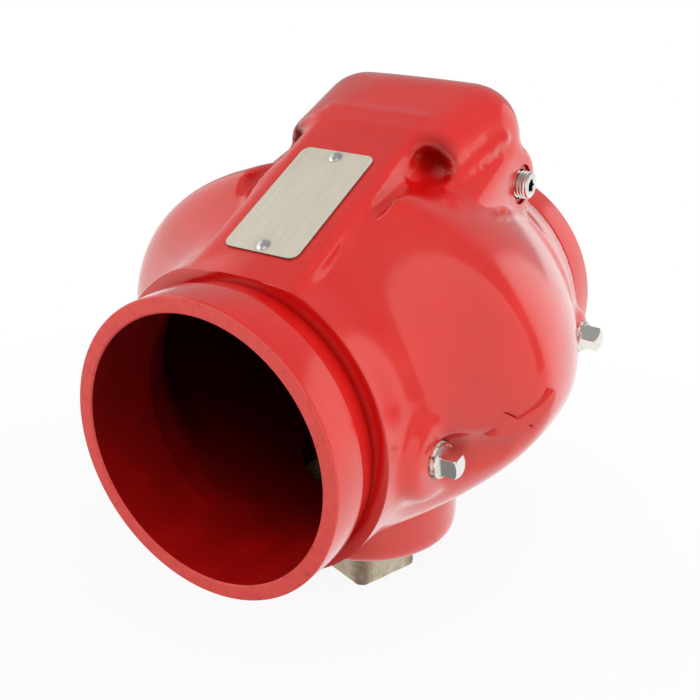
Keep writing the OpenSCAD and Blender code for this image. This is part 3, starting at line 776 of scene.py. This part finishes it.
def waterway():
    """Everything that is hollow inside the casting, from end to end."""
    space = pare(chamber(OUTLET_BORE_L, SEAT_Y - 2, WALL, 80, 128), pad_point(WALL), PAD_UP)
    inner_boss = move(rod(18, -13, 34), on_right(*OUTLET_TAP))
    cut(space, clapper_stops())
    cut(space, inner_boss)
    bore_r, mouth_r = BORE_D / 2, BORE_D / 2 + 0.6
    weld(space, along(revolve([
        (0, -1), (mouth_r, -1), (mouth_r, -0.01), (bore_r, 0.6), (bore_r, SWELL_ROOT_Y + 10),
        (CLAPPER_SPACE_R, SWELL_TOP_Y + 3), (CLAPPER_SPACE_R, SEAT_Y + 2), (SEAT_R, SEAT_Y + 2),
        (SEAT_R, SEAT_BACK_Y), (bore_r, SEAT_BACK_Y), (bore_r, LENGTH - 0.6),
        (mouth_r, LENGTH + 0.01), (mouth_r, LENGTH + 1), (0, LENGTH + 1)], 192)))
    return weld(space, hinge_pocket())


def tapping(tap):
    """Tapped hole of a gauge plug, with its core drilling and a wider mouth."""
    x, y, z = tap
    mouth_r = TAP_R + 0.8
    profile = [(0, -TAP_CORE_L), (TAP_CORE_R, -TAP_CORE_L), (TAP_CORE_R, -TAP_DEPTH), (TAP_R, -TAP_DEPTH),
               (TAP_R, 0.4), (mouth_r, 1.2), (mouth_r, 9), (0, 9)]
    return move(revolve(profile, 64), on_right(x - 0.8, y, z))


def pin_bore():
    """Bore of the hinge pin with the tapped mouth for its plug."""
    mouth_r, end_x = PIN_TAP_R + 0.5, PIN_BOSS_X + 1
    profile = [(0, -1), (PIN_BORE_R, -1), (PIN_BORE_R, PIN_HALF), (PIN_TAP_R, PIN_HALF),
               (PIN_TAP_R, PIN_BOSS_X - 1.6), (mouth_r, PIN_BOSS_X - 1.1), (mouth_r, end_x), (0, end_x)]
    return move(revolve(profile, 64), on_hinge())


def pin_spot_face():
    """Shallow painted sinking round the mouth of the pin's bore."""
    return move(revolve([(0, -1.1), (7.8, -1.1), (8.8, 2), (0, 2)], 64), on_hinge(PIN_BOSS_X))


def drain_hole():
    tap_r = DRAIN_THREAD_R
    profile = [(0, -1), (tap_r + 1.2, -1), (tap_r + 1.2, -0.01), (tap_r, 1.2), (tap_r, 40), (0, 40)]
    return move(revolve(profile), AT_DRAIN)


def rivet_holes():
    """The nameplate's two rivet holes, up and down the pad from its middle."""
    return [move(rod(RIVET_R, -5, 1, 24), on_pad(PLATE_Y) @ shift(0, y, 0)) for y in RIVETS_Y]


def flow_arrow():
    """Cast arrow on the right cheek, pointing to the outlet, that stands out of the chamber's skin."""
    tail, head, bar, barb, rise = 11.0, 8.0, 1.7, 4.8, 1.7
    half = [(head - tail, barb), (head - tail, bar), (tail, bar)]
    points = [(-tail, 0)] + half + [(x, -y) for x, y in reversed(half)]
    obj = outline([(x, y, 0) for x, y in points], "NGON")
    with editing(obj):
        bpy.ops.mesh.extrude_region_move(TRANSFORM_OT_translate={"value": (0, 0, 38 * MM)})
        face_outward()
    move(obj, on_right(SHOULDER_R - 1, 69.6, 10.6) @ turn(90 + 45, "Z"))
    trim(obj, chamber(40, 110, -rise, 60, 180))
    return bevel(obj, 0.5, 3, 40)


def paint_by_place(obj):
    """Worn paint on the two end faces and on the broken edge of the waterway."""
    for polygon in obj.data.polygons:
        x, y, z = (c / MM for c in polygon.center)
        depth = min(y, LENGTH - y)
        if polygon.material_index == RED and depth < 0.3:
            polygon.material_index = LIP
        elif polygon.material_index == BORE and depth < 0.6 and math.hypot(x, z) > BORE_D / 2 + 0.1:
            polygon.material_index = LIP


def casting():
    skin = rough_casting()
    square_shoulder(skin, SHOULDER_OUT_Y, -1)
    square_shoulder(skin, SHOULDER_IN_Y, 1)
    coat(skin, RED)
    outlet_end = coat(grooved_end(), RED)
    inlet_end = grooved_end()
    move(inlet_end, shift(0, LENGTH, 0) @ Matrix.Scale(-1, 4, (0, 1, 0)))
    coat(outward(inlet_end), RED)
    weld(skin, outlet_end)
    weld(skin, inlet_end)
    weld(skin, coat(flow_arrow(), RED))
    cut(skin, coat(waterway(), BORE))
    for sinking in both_sides(pin_spot_face):
        cut(skin, coat(sinking, RED))
    # the holes take the bore's darker red, which is painted shade
    shaded_holes = [tapping(OUTLET_TAP), tapping(INLET_TAP), *both_sides(pin_bore), drain_hole(), *rivet_holes()]
    for hole in shaded_holes:
        cut(skin, coat(hole, BORE))
    paint_by_place(skin)
    return skin


body = casting()
body.name = body.data.name = "casting"
smooth(body, 38)
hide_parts("valve_body")
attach(body, "body")


# Bare metals, rubber and plate

def metal(name, color, roughness, spread, grain, depth, stretch=(1, 1, 1)):
    """Bare metal whose tone and polish vary a little over a fine grain."""
    mat = material(name, color, metallic=1.0, roughness=roughness)
    tone = noise(mat, grain / 5, stretch=stretch)
    fine = noise(mat, grain, stretch=stretch)
    dull = [c * 0.82 for c in color]
    bright = [min(1.0, c * 1.1) for c in color]
    polish = [(0.3, roughness - spread), (0.7, roughness + spread)]
    feed(mat, ramp(mat, tone, [(0.35, dull), (0.65, bright)]), "Base Color")
    feed(mat, ramp(mat, fine, polish), "Roughness")
    relief(mat, [(fine, 0.4, depth)])
    return mat


def pitted_plating():
    """Bright plating with small brown pits where it has gone through."""
    mat = metal("plated_steel_pitted", (0.84, 0.82, 0.77), 0.14, 0.05, 900, 0.02)
    pits = noise(mat, 260, detail=2)
    color = ramp(mat, pits, [(0.25, (0.13, 0.08, 0.04)), (0.29, (0.84, 0.82, 0.77))])
    feed(mat, color, "Base Color")
    feed(mat, ramp(mat, pits, [(0.25, 0.0), (0.29, 1.0)]), "Metallic")
    return mat


def sealing_tape():
    """White thread tape, rubbed and stained brown in its folds."""
    return finish("sealing_tape", (0.80, 0.78, 0.72), 0.55, (420, 5, 0.7),
                  [(0.42, (0.12, 0.07, 0.04)), (0.50, (0.74, 0.70, 0.60)), (0.70, (0.85, 0.84, 0.80))],
                  [(1500, 4, 0.6, 0.12)])


def dark_socket():
    """Near-black inside of a hexagon socket."""
    return finish("socket_black", (0.02, 0.026, 0.018), 0.4, (600,),
                  [(0.35, (0.008, 0.010, 0.007)), (0.7, (0.045, 0.055, 0.035))], [(900, 4, 0.5, 0.05)],
                  metallic=0.5)


def zinc_casting():
    """Rough galvanised iron, browned at the corners of the square head and stained in spots."""
    mat = material("galvanised", (0.46, 0.43, 0.31), metallic=0.1, roughness=0.8)
    mottle = ramp(mat, noise(mat, 260, detail=6, rough=0.65),
                  [(0.28, (0.48, 0.43, 0.29)), (0.45, (0.66, 0.62, 0.46)), (0.72, (0.80, 0.76, 0.60))])
    from_axis = distance_from(mat, (0, DRAIN_Y, 0), (1, 1, 0))
    wander = calculate(mat, "MULTIPLY", noise(mat, 300, detail=3), 0.0022)
    browned = ramp(mat, calculate(mat, "ADD", from_axis, wander), [(0.0214, 0.0), (0.0219, 1.0)])
    head_only = ramp(mat, beyond(mat, -DRAIN_DEPTH - 6), [(0.0, 1.0), (0.0035, 0.0)])
    rust = ramp(mat, noise(mat, 330, detail=5), [(0.3, (0.10, 0.06, 0.035)), (0.65, (0.30, 0.22, 0.14))])
    share = calculate(mat, "MULTIPLY", browned, head_only)
    feed(mat, blend_colors(mat, share, mottle, rust), "Base Color")
    relief(mat, [(noise(mat, 220, detail=6), 0.6, 0.5), (noise(mat, 900, detail=4), 0.4, 0.15)])
    return mat


def plate_face():
    """Satin anodised sheet with a fine lengthwise grain and grime round the rivets."""
    mat = material("nameplate_satin", (0.70, 0.64, 0.52), metallic=0.25, roughness=0.42)
    grain = noise(mat, 900, detail=3, stretch=(1, 0.06, 0.06))
    tone = ramp(mat, grain, [(0.3, (0.66, 0.60, 0.485)), (0.7, (0.73, 0.675, 0.555))])
    for y in RIVETS_Y:
        rivet_at = on_pad(PLATE_Y) @ Vector((0, y * MM, PLATE_T * MM))
        ring = distance_from(mat, rivet_at / MM)
        tone = times(mat, tone, ramp(mat, ring, [(0.0026, 0.55), (0.0040, 1.0)]))
    feed(mat, tone, "Base Color")
    feed(mat, ramp(mat, noise(mat, 260), [(0.3, 0.36), (0.7, 0.50)]), "Roughness")
    relief(mat, [(grain, 0.25, 0.02)])
    return mat


def plate_edge_shade():
    """Cut edge of the sheet, painted dark as the shade along the plate's outline."""
    return finish("nameplate_edge", (0.10, 0.07, 0.045), 0.6, (500,),
                  [(0.3, (0.05, 0.03, 0.02)), (0.7, (0.16, 0.11, 0.07))])


def rubber():
    mat = finish("rubber_black", (0.018, 0.018, 0.019), 0.6, (300, 6),
                 [(0.3, 0.012), (0.7, 0.030)], [(1200, 3, 0.3, 0.04)])
    feed(mat, ramp(mat, noise(mat, 120), [(0.3, 0.50), (0.7, 0.72)]), "Roughness")
    return mat


def spacer_plastic():
    return finish("spacer_white", (0.78, 0.76, 0.69), 0.45, (150,),
                  [(0.3, (0.72, 0.70, 0.62)), (0.7, (0.82, 0.80, 0.74))], [(800, 4, 0.3, 0.03)])


def clapper_iron():
    """Dark phosphated iron casting, a little brown where it is thin."""
    return finish("clapper_iron", (0.035, 0.034, 0.035), 0.55, (70, 6),
                  [(0.32, (0.05, 0.036, 0.028)), (0.5, (0.036, 0.036, 0.038)), (0.75, (0.055, 0.055, 0.06))],
                  [(90, 4, 0.4, 0.5), (700, 4, 0.4, 0.12)], metallic=0.35)


PLATED = metal("plated_steel", (0.84, 0.82, 0.77), 0.22, 0.07, 900, 0.03)
RIVET_STEEL = metal("rivet_steel", (0.78, 0.78, 0.78), 0.25, 0.03, 1500, 0.01)
STAINLESS = metal("stainless", (0.62, 0.61, 0.60), 0.30, 0.08, 800, 0.03)
TURNED_STEEL = metal("stainless_turned", (0.62, 0.61, 0.60), 0.26, 0.07, 500, 0.04, (9, 0.3, 0.3))
BRONZE = metal("bronze", (0.56, 0.34, 0.14), 0.34, 0.09, 450, 0.05, (0.3, 9, 0.3))
RUBBER = rubber()
IRON = clapper_iron()


def stand_for(obj, node, body_name, degrees=38):
    """Shades a finished piece, names it and lets it stand for its CAD node, on a body if one is given."""
    smooth(obj, degrees)
    obj.name = obj.data.name = node + "_dressed"
    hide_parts(node)
    if body_name:
        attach(obj, body_name)


def again(obj):
    """A second one, with a mesh of its own."""
    return put_in_scene(obj.name, obj.data.copy())


def paint(obj, mat):
    return coat(obj, 0, [mat])


# Threads and plugs

def thread(major, depth, pitch, z0, z1, sides=64):
    """A V thread about Z: one turn's outline screwed up the axis, then faced off at both ends."""
    turn_outline = [(major - depth, 0.0), (major, 0.42), (major, 0.58), (major - depth, 1.0)]
    obj = outline([(radius, 0, z0 + (height - 1.6) * pitch) for radius, height in turn_outline])
    with editing(obj):
        mesh = bmesh.from_edit_mesh(obj.data)
        for edge in mesh.edges:
            edge.select = {v.index for v in edge.verts} == {0, len(turn_outline) - 1}
        bmesh.update_edit_mesh(obj.data)
        bpy.ops.mesh.select_mode(type="EDGE")
        bpy.ops.mesh.delete(type="EDGE")
        bpy.ops.mesh.select_mode(type="VERT")
    finish_modifier(obj, "SCREW", axis="Z", angle=2 * math.pi, steps=sides, render_steps=sides,
                    screw_offset=pitch * MM, iterations=math.ceil((z1 - z0) / pitch) + 3)
    outward(obj)
    pare(obj, Vector((0, 0, z1)) * MM, Vector((0, 0, 1)))
    pare(obj, Vector((0, 0, z0)) * MM, Vector((0, 0, -1)))
    return outward(obj)


def corner_radius(flats):
    """Radius over the corners of a hexagon given over its flats."""
    return flats / 2 / math.cos(math.pi / 6)


PIPE_PITCH = 1.34
PLUG_LENGTH = 17.0
SOCKET_FLATS = 4.76
PLUG_COATS = [PLATED, dark_socket()]


def socket_plug():
    """Socket plug of the hinge bore, about Z: four of its threads stand out behind a plain end."""
    top, end_r, edge = PLUG_LENGTH, 5.2, 0.6
    plug = thread(PIN_TAP_R - 0.05, 0.75, PIPE_PITCH, 0, top)
    shape = [(0, 0), (4.6, 0), (5.7, 1.2), (5.7, top - 1.5), (4.5, top - 0.4), (4.5, top), (0, top)]
    trim(plug, revolve(shape, 96))
    rounding = arc((end_r - edge, top - edge), edge, 0, 90, 4)
    end = [(0, 6), (4.2, 6), (4.2, top - 2.2), (end_r, top - 2.0), *rounding, (0, top)]
    weld(plug, revolve(end, 96))
    coat(plug, 0, PLUG_COATS)
    cut(plug, coat(rod(corner_radius(SOCKET_FLATS), top - 5, top + 1, 6), 1, PLUG_COATS))
    drill_point = revolve([(0, top - 6.1), (2.2, top - 4.9), (0, top - 4.9)], 48)
    cut(plug, coat(drill_point, 1, PLUG_COATS))
    mouth = revolve([(0, top - 0.7), (2.4, top - 0.4), (3.0, top + 0.2), (0, top + 0.2)], 48)
    return cut(plug, coat(mouth, 0, PLUG_COATS))


def hinge_plugs():
    right = move(socket_plug(), on_hinge(PIN_HALF))
    left = outward(move(again(right), MIRROR))
    stand_for(right, "hinge_plug_right", "body", 30)
    stand_for(left, "hinge_plug_left", "body", 30)


GAUGE_COATS = [pitted_plating(), sealing_tape()]


def ragged(obj, size, strength):
    """Roughens a dense surface, with lumps of a size and a height in millimetres."""
    clouds = bpy.data.textures.new("ragged", "CLOUDS")
    clouds.noise_scale = size * MM
    return finish_modifier(obj, "DISPLACE", texture=clouds, texture_coords="LOCAL", mid_level=0.5,
                           strength=strength * MM)


def square_plug():
    """Gauge plug about Z: taped thread, round collar and a square head that flares at its foot."""
    plug = thread(TAP_R - 0.05, 0.8, PIPE_PITCH, -9, 1.0)
    coat(plug, 1, GAUGE_COATS)
    bulge = [(6.55 + 0.35 * math.sin(math.pi * i / 12), -1.0 + 2.0 * i / 12) for i in range(13)]
    tape = revolve([(5.6, -1.0), *bulge, (5.6, 1.0)], 180)
    ragged(tape, 1.3, 1.0)
    weld(plug, coat(outward(tape), 1, GAUGE_COATS))
    collar = revolve([
        (0, 0.7), (6.0, 0.7), (6.4, 0.85), (6.6, 1.15), (6.6, 1.75), (6.5, 2.05), (6.25, 2.25),
        (5.95, 2.25), (5.7, 2.1), (5.4, 2.0), (0, 2.0)], 96)
    weld(plug, coat(collar, 0, GAUGE_COATS))
    head = revolve([
        (0, 1.6), (6.3, 1.6), (6.05, 2.0), (5.8, 2.4), (5.6, 2.9), (5.45, 3.5), (5.38, 4.4),
        (5.38, 9.6), (0, 9.6)], 4)
    trim(head, revolve([
        (0, 1.7), (5.95, 1.7), (5.7, 2.3), (5.45, 2.9), (5.3, 3.6), (5.22, 4.5), (5.2, 7.9), (4.85, 8.35),
        (4.2, 8.75), (3.3, 9.08), (2.2, 9.32), (1.1, 9.46), (0, 9.5)], 96))
    return weld(plug, coat(head, 0, GAUGE_COATS))


def gauge_plugs():
    plug = square_plug()
    for node, tap, degrees in (("outlet_gauge_plug", OUTLET_TAP, 10), ("inlet_gauge_plug", INLET_TAP, 35)):
        fitted = move(again(plug), on_right(*tap) @ turn(degrees + 45, "Z"))
        stand_for(fitted, node, "body", 25)
    bpy.data.objects.remove(plug)


def drain_plug():
    """Cored drain plug about Z with a coarse thread, a turned collar and a rough square head."""
    collar_r, head_turn = 28.95, 19
    head = revolve([(0, -22.5), (23.2, -22.5), (23.7, -4.6), (0, -4.6)], 4)
    move(head, turn(45 - head_turn, "Z"))
    trim(head, revolve([(0, -23), (21.3, -23), (21.3, -4), (0, -4)], 96))
    bevel(head, 1.1, 3, 25)
    fillet(head, 2, 0.6)
    ragged(head, 3.5, 0.35)
    collar = revolve([
        (0, -5), (27.4, -5), (28.5, -4.5), (collar_r, -3.6), (collar_r, 0.4), (27.4, 1.2), (0, 1.2)])
    weld(collar, thread(collar_r, 1.3, 2.31, 0.8, 20, 128))
    weld(collar, head)
    core = revolve([(0, 8), (20, 8), (22, 10), (22, 21), (0, 21)])
    cut(collar, core)
    move(paint(collar, zinc_casting()), AT_DRAIN)
    stand_for(collar, "drain_plug", "body", 30)


# Nameplate and rivets

def nameplate():
    """Bare plate with rounded corners, softened edges and two rivet holes."""
    half_w, half_l, corner_r = 15.75, 29.0, 3.5
    x, y = half_w - corner_r, half_l - corner_r
    plate = hull([move(rod(corner_r, 0, PLATE_T, 64), shift(*at, 0))
                  for at in ((-x, -y), (-x, y), (x, -y), (x, y))])
    with editing(plate):
        bpy.ops.mesh.dissolve_limited(angle_limit=math.radians(1))
    bevel(plate, 0.14, 2, 60)
    coats = [plate_face(), plate_edge_shade()]
    coat(plate, 0, coats)
    # painted shade: the plate's sides and rivet holes take the dark edge finish
    for polygon in plate.data.polygons:
        if abs(polygon.normal.z) < 0.3:
            polygon.material_index = 1
    for y in RIVETS_Y:
        cut(plate, coat(move(rod(RIVET_R, -1, 2, 32), shift(0, y, 0)), 1, coats))
    move(plate, on_pad(PLATE_Y))
    stand_for(plate, "nameplate", "body", 30)


def rivets():
    """Two drive rivets with low domes over a small flat rim."""
    radius, rise, curve = 2.7, 1.2, 3.64
    spread = math.degrees(math.acos((curve - rise + 0.12) / curve))
    dome = arc((0, PLATE_T + rise - curve), curve, 90 - spread, 90, 14)
    shank = [(0, -5), (1.2, -5), (RIVET_R, -4.6), (RIVET_R, PLATE_T)]
    first = revolve([*shank, (radius - 0.1, PLATE_T), (radius, PLATE_T + 0.06), *dome], 64)
    pair = [first, again(first)]
    for rivet, y in zip(pair, RIVETS_Y):
        move(rivet, on_pad(PLATE_Y) @ shift(0, y, 0))
    stand_for(paint(join(pair), RIVET_STEEL), "nameplate_rivets", "body", 40)


# Clapper, its bolt and its spring

HUB_FACE_Y = DISC_FRONT_Y + 3
HUB_BACK_Y = DISC_BACK_Y - 4
SEAL_R0, SEAL_R1 = 34.0, 54.5
BUSH_R = 7.0
CLAMP_PLATE_T = 3.0
WASHER_T = 1.6
NUT_H = 9.0
BOLT_R = 5.0
BOLT_HEAD_H = 6.4
BOLT_FLATS = 17.0


def clapper_arm():
    ear = move(rod(EAR_R, EAR_X0, EAR_X1, 64), on_hinge())
    knee = block((EAR_X0, DISC_BACK_Y - 9, 40), (EAR_X1, DISC_BACK_Y, 48))
    foot = block((EAR_X0, DISC_BACK_Y - 3, 16), (EAR_X1, DISC_BACK_Y + 0.5, 20))
    return hull([ear, knee, foot])


def clapper():
    """Cast clapper with filleted arms and hub, faced and bored afterwards."""
    rim_y = CLAPPER_FACE_Y - 1
    disc = along(revolve([
        (0, HUB_BACK_Y), (13, HUB_BACK_Y), (15, DISC_BACK_Y), (CLAPPER_R - 2, DISC_BACK_Y),
        (CLAPPER_R, DISC_BACK_Y + 2), (CLAPPER_R, rim_y), (0, rim_y)], 160))
    spring_pad = block((-12.5, HINGE_Y - COIL_R + WIRE_R, 30), (12.5, DISC_BACK_Y + 0.5, 44))
    shape = grown([disc, *both_sides(clapper_arm), spring_pad], 4, 1.0)
    cut(shape, along(revolve([
        (0, HUB_FACE_Y), (SEAL_R0, HUB_FACE_Y), (SEAL_R0, DISC_FRONT_Y), (SEAL_R1, DISC_FRONT_Y),
        (SEAL_R1, SEAT_Y + 5), (0, SEAT_Y + 5)], 160)))
    bolt_hole = along(rod(BOLT_R + 0.25, HUB_BACK_Y - 5, HUB_FACE_Y + 2, 48))
    bush_hole = move(rod(BUSH_R, -40, 40, 64), on_hinge())
    cut(shape, bolt_hole)
    cut(shape, bush_hole)
    stand_for(paint(shape, IRON), "clapper", "clapper_assembly")


def clamp_bolt():
    """Hexagon bolt through the clapper with a rolled thread at its nut."""
    head_y = HUB_FACE_Y + CLAMP_PLATE_T + WASHER_T
    top_y = head_y + BOLT_HEAD_H
    tail_y = HUB_BACK_Y - WASHER_T - NUT_H - 1.5
    tail_top_y = HUB_BACK_Y + 2
    head = rod(corner_radius(BOLT_FLATS), head_y, top_y, 6)
    trim(head, revolve([
        (0, head_y), (8.4, head_y), (8.6, head_y + 0.5), (10.5, head_y + 0.6), (10.5, head_y + 5.0),
        (8.0, top_y), (0, top_y)], 96))
    shank = rod(BOLT_R - 0.05, HUB_BACK_Y, head_y + 1, 48)
    tail = thread(BOLT_R, 0.85, 1.5, tail_y, HUB_BACK_Y + 1, 48)
    tail_shape = [(0, tail_y), (4.0, tail_y), (5.1, tail_y + 1.1), (5.1, tail_top_y), (0, tail_top_y)]
    trim(tail, revolve(tail_shape, 64))
    weld(tail, shank)
    weld(tail, head)
    stand_for(paint(along(tail), STAINLESS), "clamp_bolt", "clapper_assembly", 30)


def closing_spring():
    """Torsion spring: lower leg on the clapper, six turns round the pin, upper leg on the housing's lug."""
    steps = 40 * COIL_TURNS
    line = [(-COIL_HALF, -COIL_R, z) for z in (-34, -30, -20, -10, -4)]
    for i in range(steps + 1):
        share, angle = i / steps, 2 * math.pi * COIL_TURNS * i / steps
        line.append((COIL_HALF * (2 * share - 1), -COIL_R * math.cos(angle), COIL_R * math.sin(angle)))
    line += [(COIL_HALF, -COIL_R, z) for z in (4, 10, 16, 22)]
    data = bpy.data.curves.new("closing_spring", "CURVE")
    data.dimensions = "3D"
    data.bevel_depth = WIRE_R * MM
    data.bevel_resolution = 3
    data.use_fill_caps = True
    spline = data.splines.new("POLY")
    spline.points.add(len(line) - 1)
    for point, (x, y, z) in zip(spline.points, line):
        point.co = (x * MM, (y + HINGE_Y) * MM, (z + HINGE_Z) * MM, 1)
    take(put_in_scene("closing_spring", data))
    bpy.ops.object.convert(target="MESH")
    spring = outward(bpy.context.object)
    stand_for(paint(spring, STAINLESS), "closing_spring", None, 50)
    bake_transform(spring)


hinge_plugs()
gauge_plugs()
drain_plug()
nameplate()
rivets()
clapper()
clamp_bolt()
closing_spring()

CARRIED_OVER = (
    (BRONZE, ("seat_ring", "clapper_bush_left", "clapper_bush_right")),
    (RUBBER, ("seat_o_ring", "clapper_seal")),
    (TURNED_STEEL, ("hinge_pin",)),
    (STAINLESS, ("seal_clamp_plate", "clamp_nut", "clamp_bolt_washer", "clamp_nut_washer")),
    (spacer_plastic(), ("hinge_spacer_left", "hinge_spacer_right")),
)
for mat, names in CARRIED_OVER:
    for node in names:
        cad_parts[node].data.materials.clear()
        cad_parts[node].data.materials.append(mat)


# Floor, lamps and camera

WHITE = (1, 1, 1, 1)
SKY_LEVEL = 0.46
MIRRORED_LEVEL = 0.38
WINDOWS = (
    ((0.63, -0.75, 0.21), 0.68, 0.74, 1.0),
    ((0.52, 0.85, 0.05), 0.84, 0.90, 1.0),
    ((-0.94, 0.08, 0.34), 0.78, 0.88, 0.9),
)
LAMP_TARGET = Vector((0, 0.1, 0))
CAMERA_AT = Vector((227.155, -258.739, 187.428)) * MM
CAMERA_AZIMUTH = 32.61
CAMERA_ELEVATION = 23.50
CAMERA_ROLL = 0.20
CAMERA_LENS = 57.63


def output(owner, name, share, first, second):
    """Sends two shaders to an output node: the first where the share is 0, the second where it is 1."""
    mixer = add_node(owner, "MixShader", {"Fac": share, 1: first, 2: second})
    owner.node_tree.links.new(mixer.outputs["Shader"], owner.node_tree.nodes[name].inputs["Surface"])


def seen_rays(owner):
    """Two values, 1 or 0 each: what the camera or a glass sees, and what a mirror sees."""
    rays = add_node(owner, "LightPath", {}).outputs
    straight = calculate(owner, "MAXIMUM", rays["Is Camera Ray"], rays["Is Transmission Ray"])
    return straight, rays["Is Glossy Ray"]


def dimmed(owner, straight, mirrored, level):
    """Strength of a white that is full when seen straight and at the level when seen in a mirror."""
    return calculate(owner, "MAXIMUM", straight, calculate(owner, "MULTIPLY", mirrored, level))


def floor_white():
    """White floor that keeps a soft shadow round the object and is plain white further out."""
    mat = material("floor_white", grey(0.9), roughness=0.9)
    straight, mirrored = seen_rays(mat)
    share = ramp(mat, distance_from(mat, (0, 0, 0)), [(0.20, 0.90), (0.40, 1.0)])
    # painted shadow: mirrors see the floor darker near the object's front left
    painted_shadow_share = ramp(mat, distance_from(mat, (-60, -60, 0)), [(0.11, 0.25), (0.17, 1.0)])
    white = add_node(mat, "Emission", {"Strength": dimmed(mat, straight, mirrored, painted_shadow_share)})
    white_share = calculate(mat, "MAXIMUM", calculate(mat, "MULTIPLY", straight, share), mirrored)
    output(mat, "Material Output", white_share, shader_of(mat).outputs["BSDF"], white.outputs["Emission"])
    return mat


def window(world, direction, edge, inside, level):
    """A bright round window in the mirrored world; its edge and its inside are given as cosines."""
    toward = add_node(world, "VectorMath", {0: coordinates(world, "Generated"), 1: direction},
                      operation="DOT_PRODUCT").outputs["Value"]
    return add_node(world, "MapRange", {"Value": toward, "From Min": edge, "From Max": inside, "To Min": 0.0,
                                        "To Max": level}).outputs["Result"]


def studio():
    """White floor and a plain grey sky that the camera sees as white."""
    deselect()
    bpy.ops.mesh.primitive_plane_add(size=12, location=(0, 0, cad_low[2] - 0.2 * MM))
    floor = bpy.context.object
    floor.name = "floor"
    floor.data.materials.append(floor_white())

    world = bpy.data.worlds.new("studio")
    bpy.context.scene.world = world
    world.use_nodes = True
    sky = world.node_tree.nodes["Background"]
    sky.inputs["Color"].default_value = WHITE
    sky.inputs["Strength"].default_value = SKY_LEVEL
    straight, mirrored = seen_rays(world)
    bright = MIRRORED_LEVEL
    for direction, edge, inside, level in WINDOWS:
        bright = calculate(world, "MAXIMUM", window(world, direction, edge, inside, level), bright)
    strength = dimmed(world, straight, mirrored, bright)
    white = add_node(world, "Background", {"Color": WHITE, "Strength": strength})
    seen = calculate(world, "MAXIMUM", straight, mirrored)
    output(world, "World Output", seen, sky.outputs["Background"], white.outputs["Background"])


def lamp(name, place, size, power, mirrored):
    """A rectangular lamp that looks at the valve's middle; a mirror may or may not show it."""
    data = bpy.data.lights.new(name, "AREA")
    data.shape = "RECTANGLE"
    data.size, data.size_y = size
    data.energy = power
    obj = put_in_scene(name, data)
    obj.location = place
    obj.visible_glossy = mirrored
    obj.rotation_euler = (LAMP_TARGET - Vector(place)).to_track_quat("-Z", "Y").to_euler()


def camera():
    data = bpy.data.cameras.new("camera")
    data.sensor_width = 36
    data.lens = CAMERA_LENS
    data.clip_start = 0.01
    obj = put_in_scene("camera", data)
    obj.matrix_world = (Matrix.Translation(CAMERA_AT) @ turn(CAMERA_AZIMUTH, "Z")
                        @ turn(90 - CAMERA_ELEVATION, "X") @ turn(CAMERA_ROLL, "Z"))
    bpy.context.scene.camera = obj


studio()
lamp("key", (0.35, -0.30, 1.05), (1.4, 1.1), 6.6, False)
lamp("fill", (-0.9, -0.7, 0.5), (0.8, 0.8), 3.2, True)
lamp("side", (1.0, 0.35, 0.40), (0.9, 0.6), 4.4, False)
camera()
bpy.context.scene.view_settings.view_transform = "Standard"
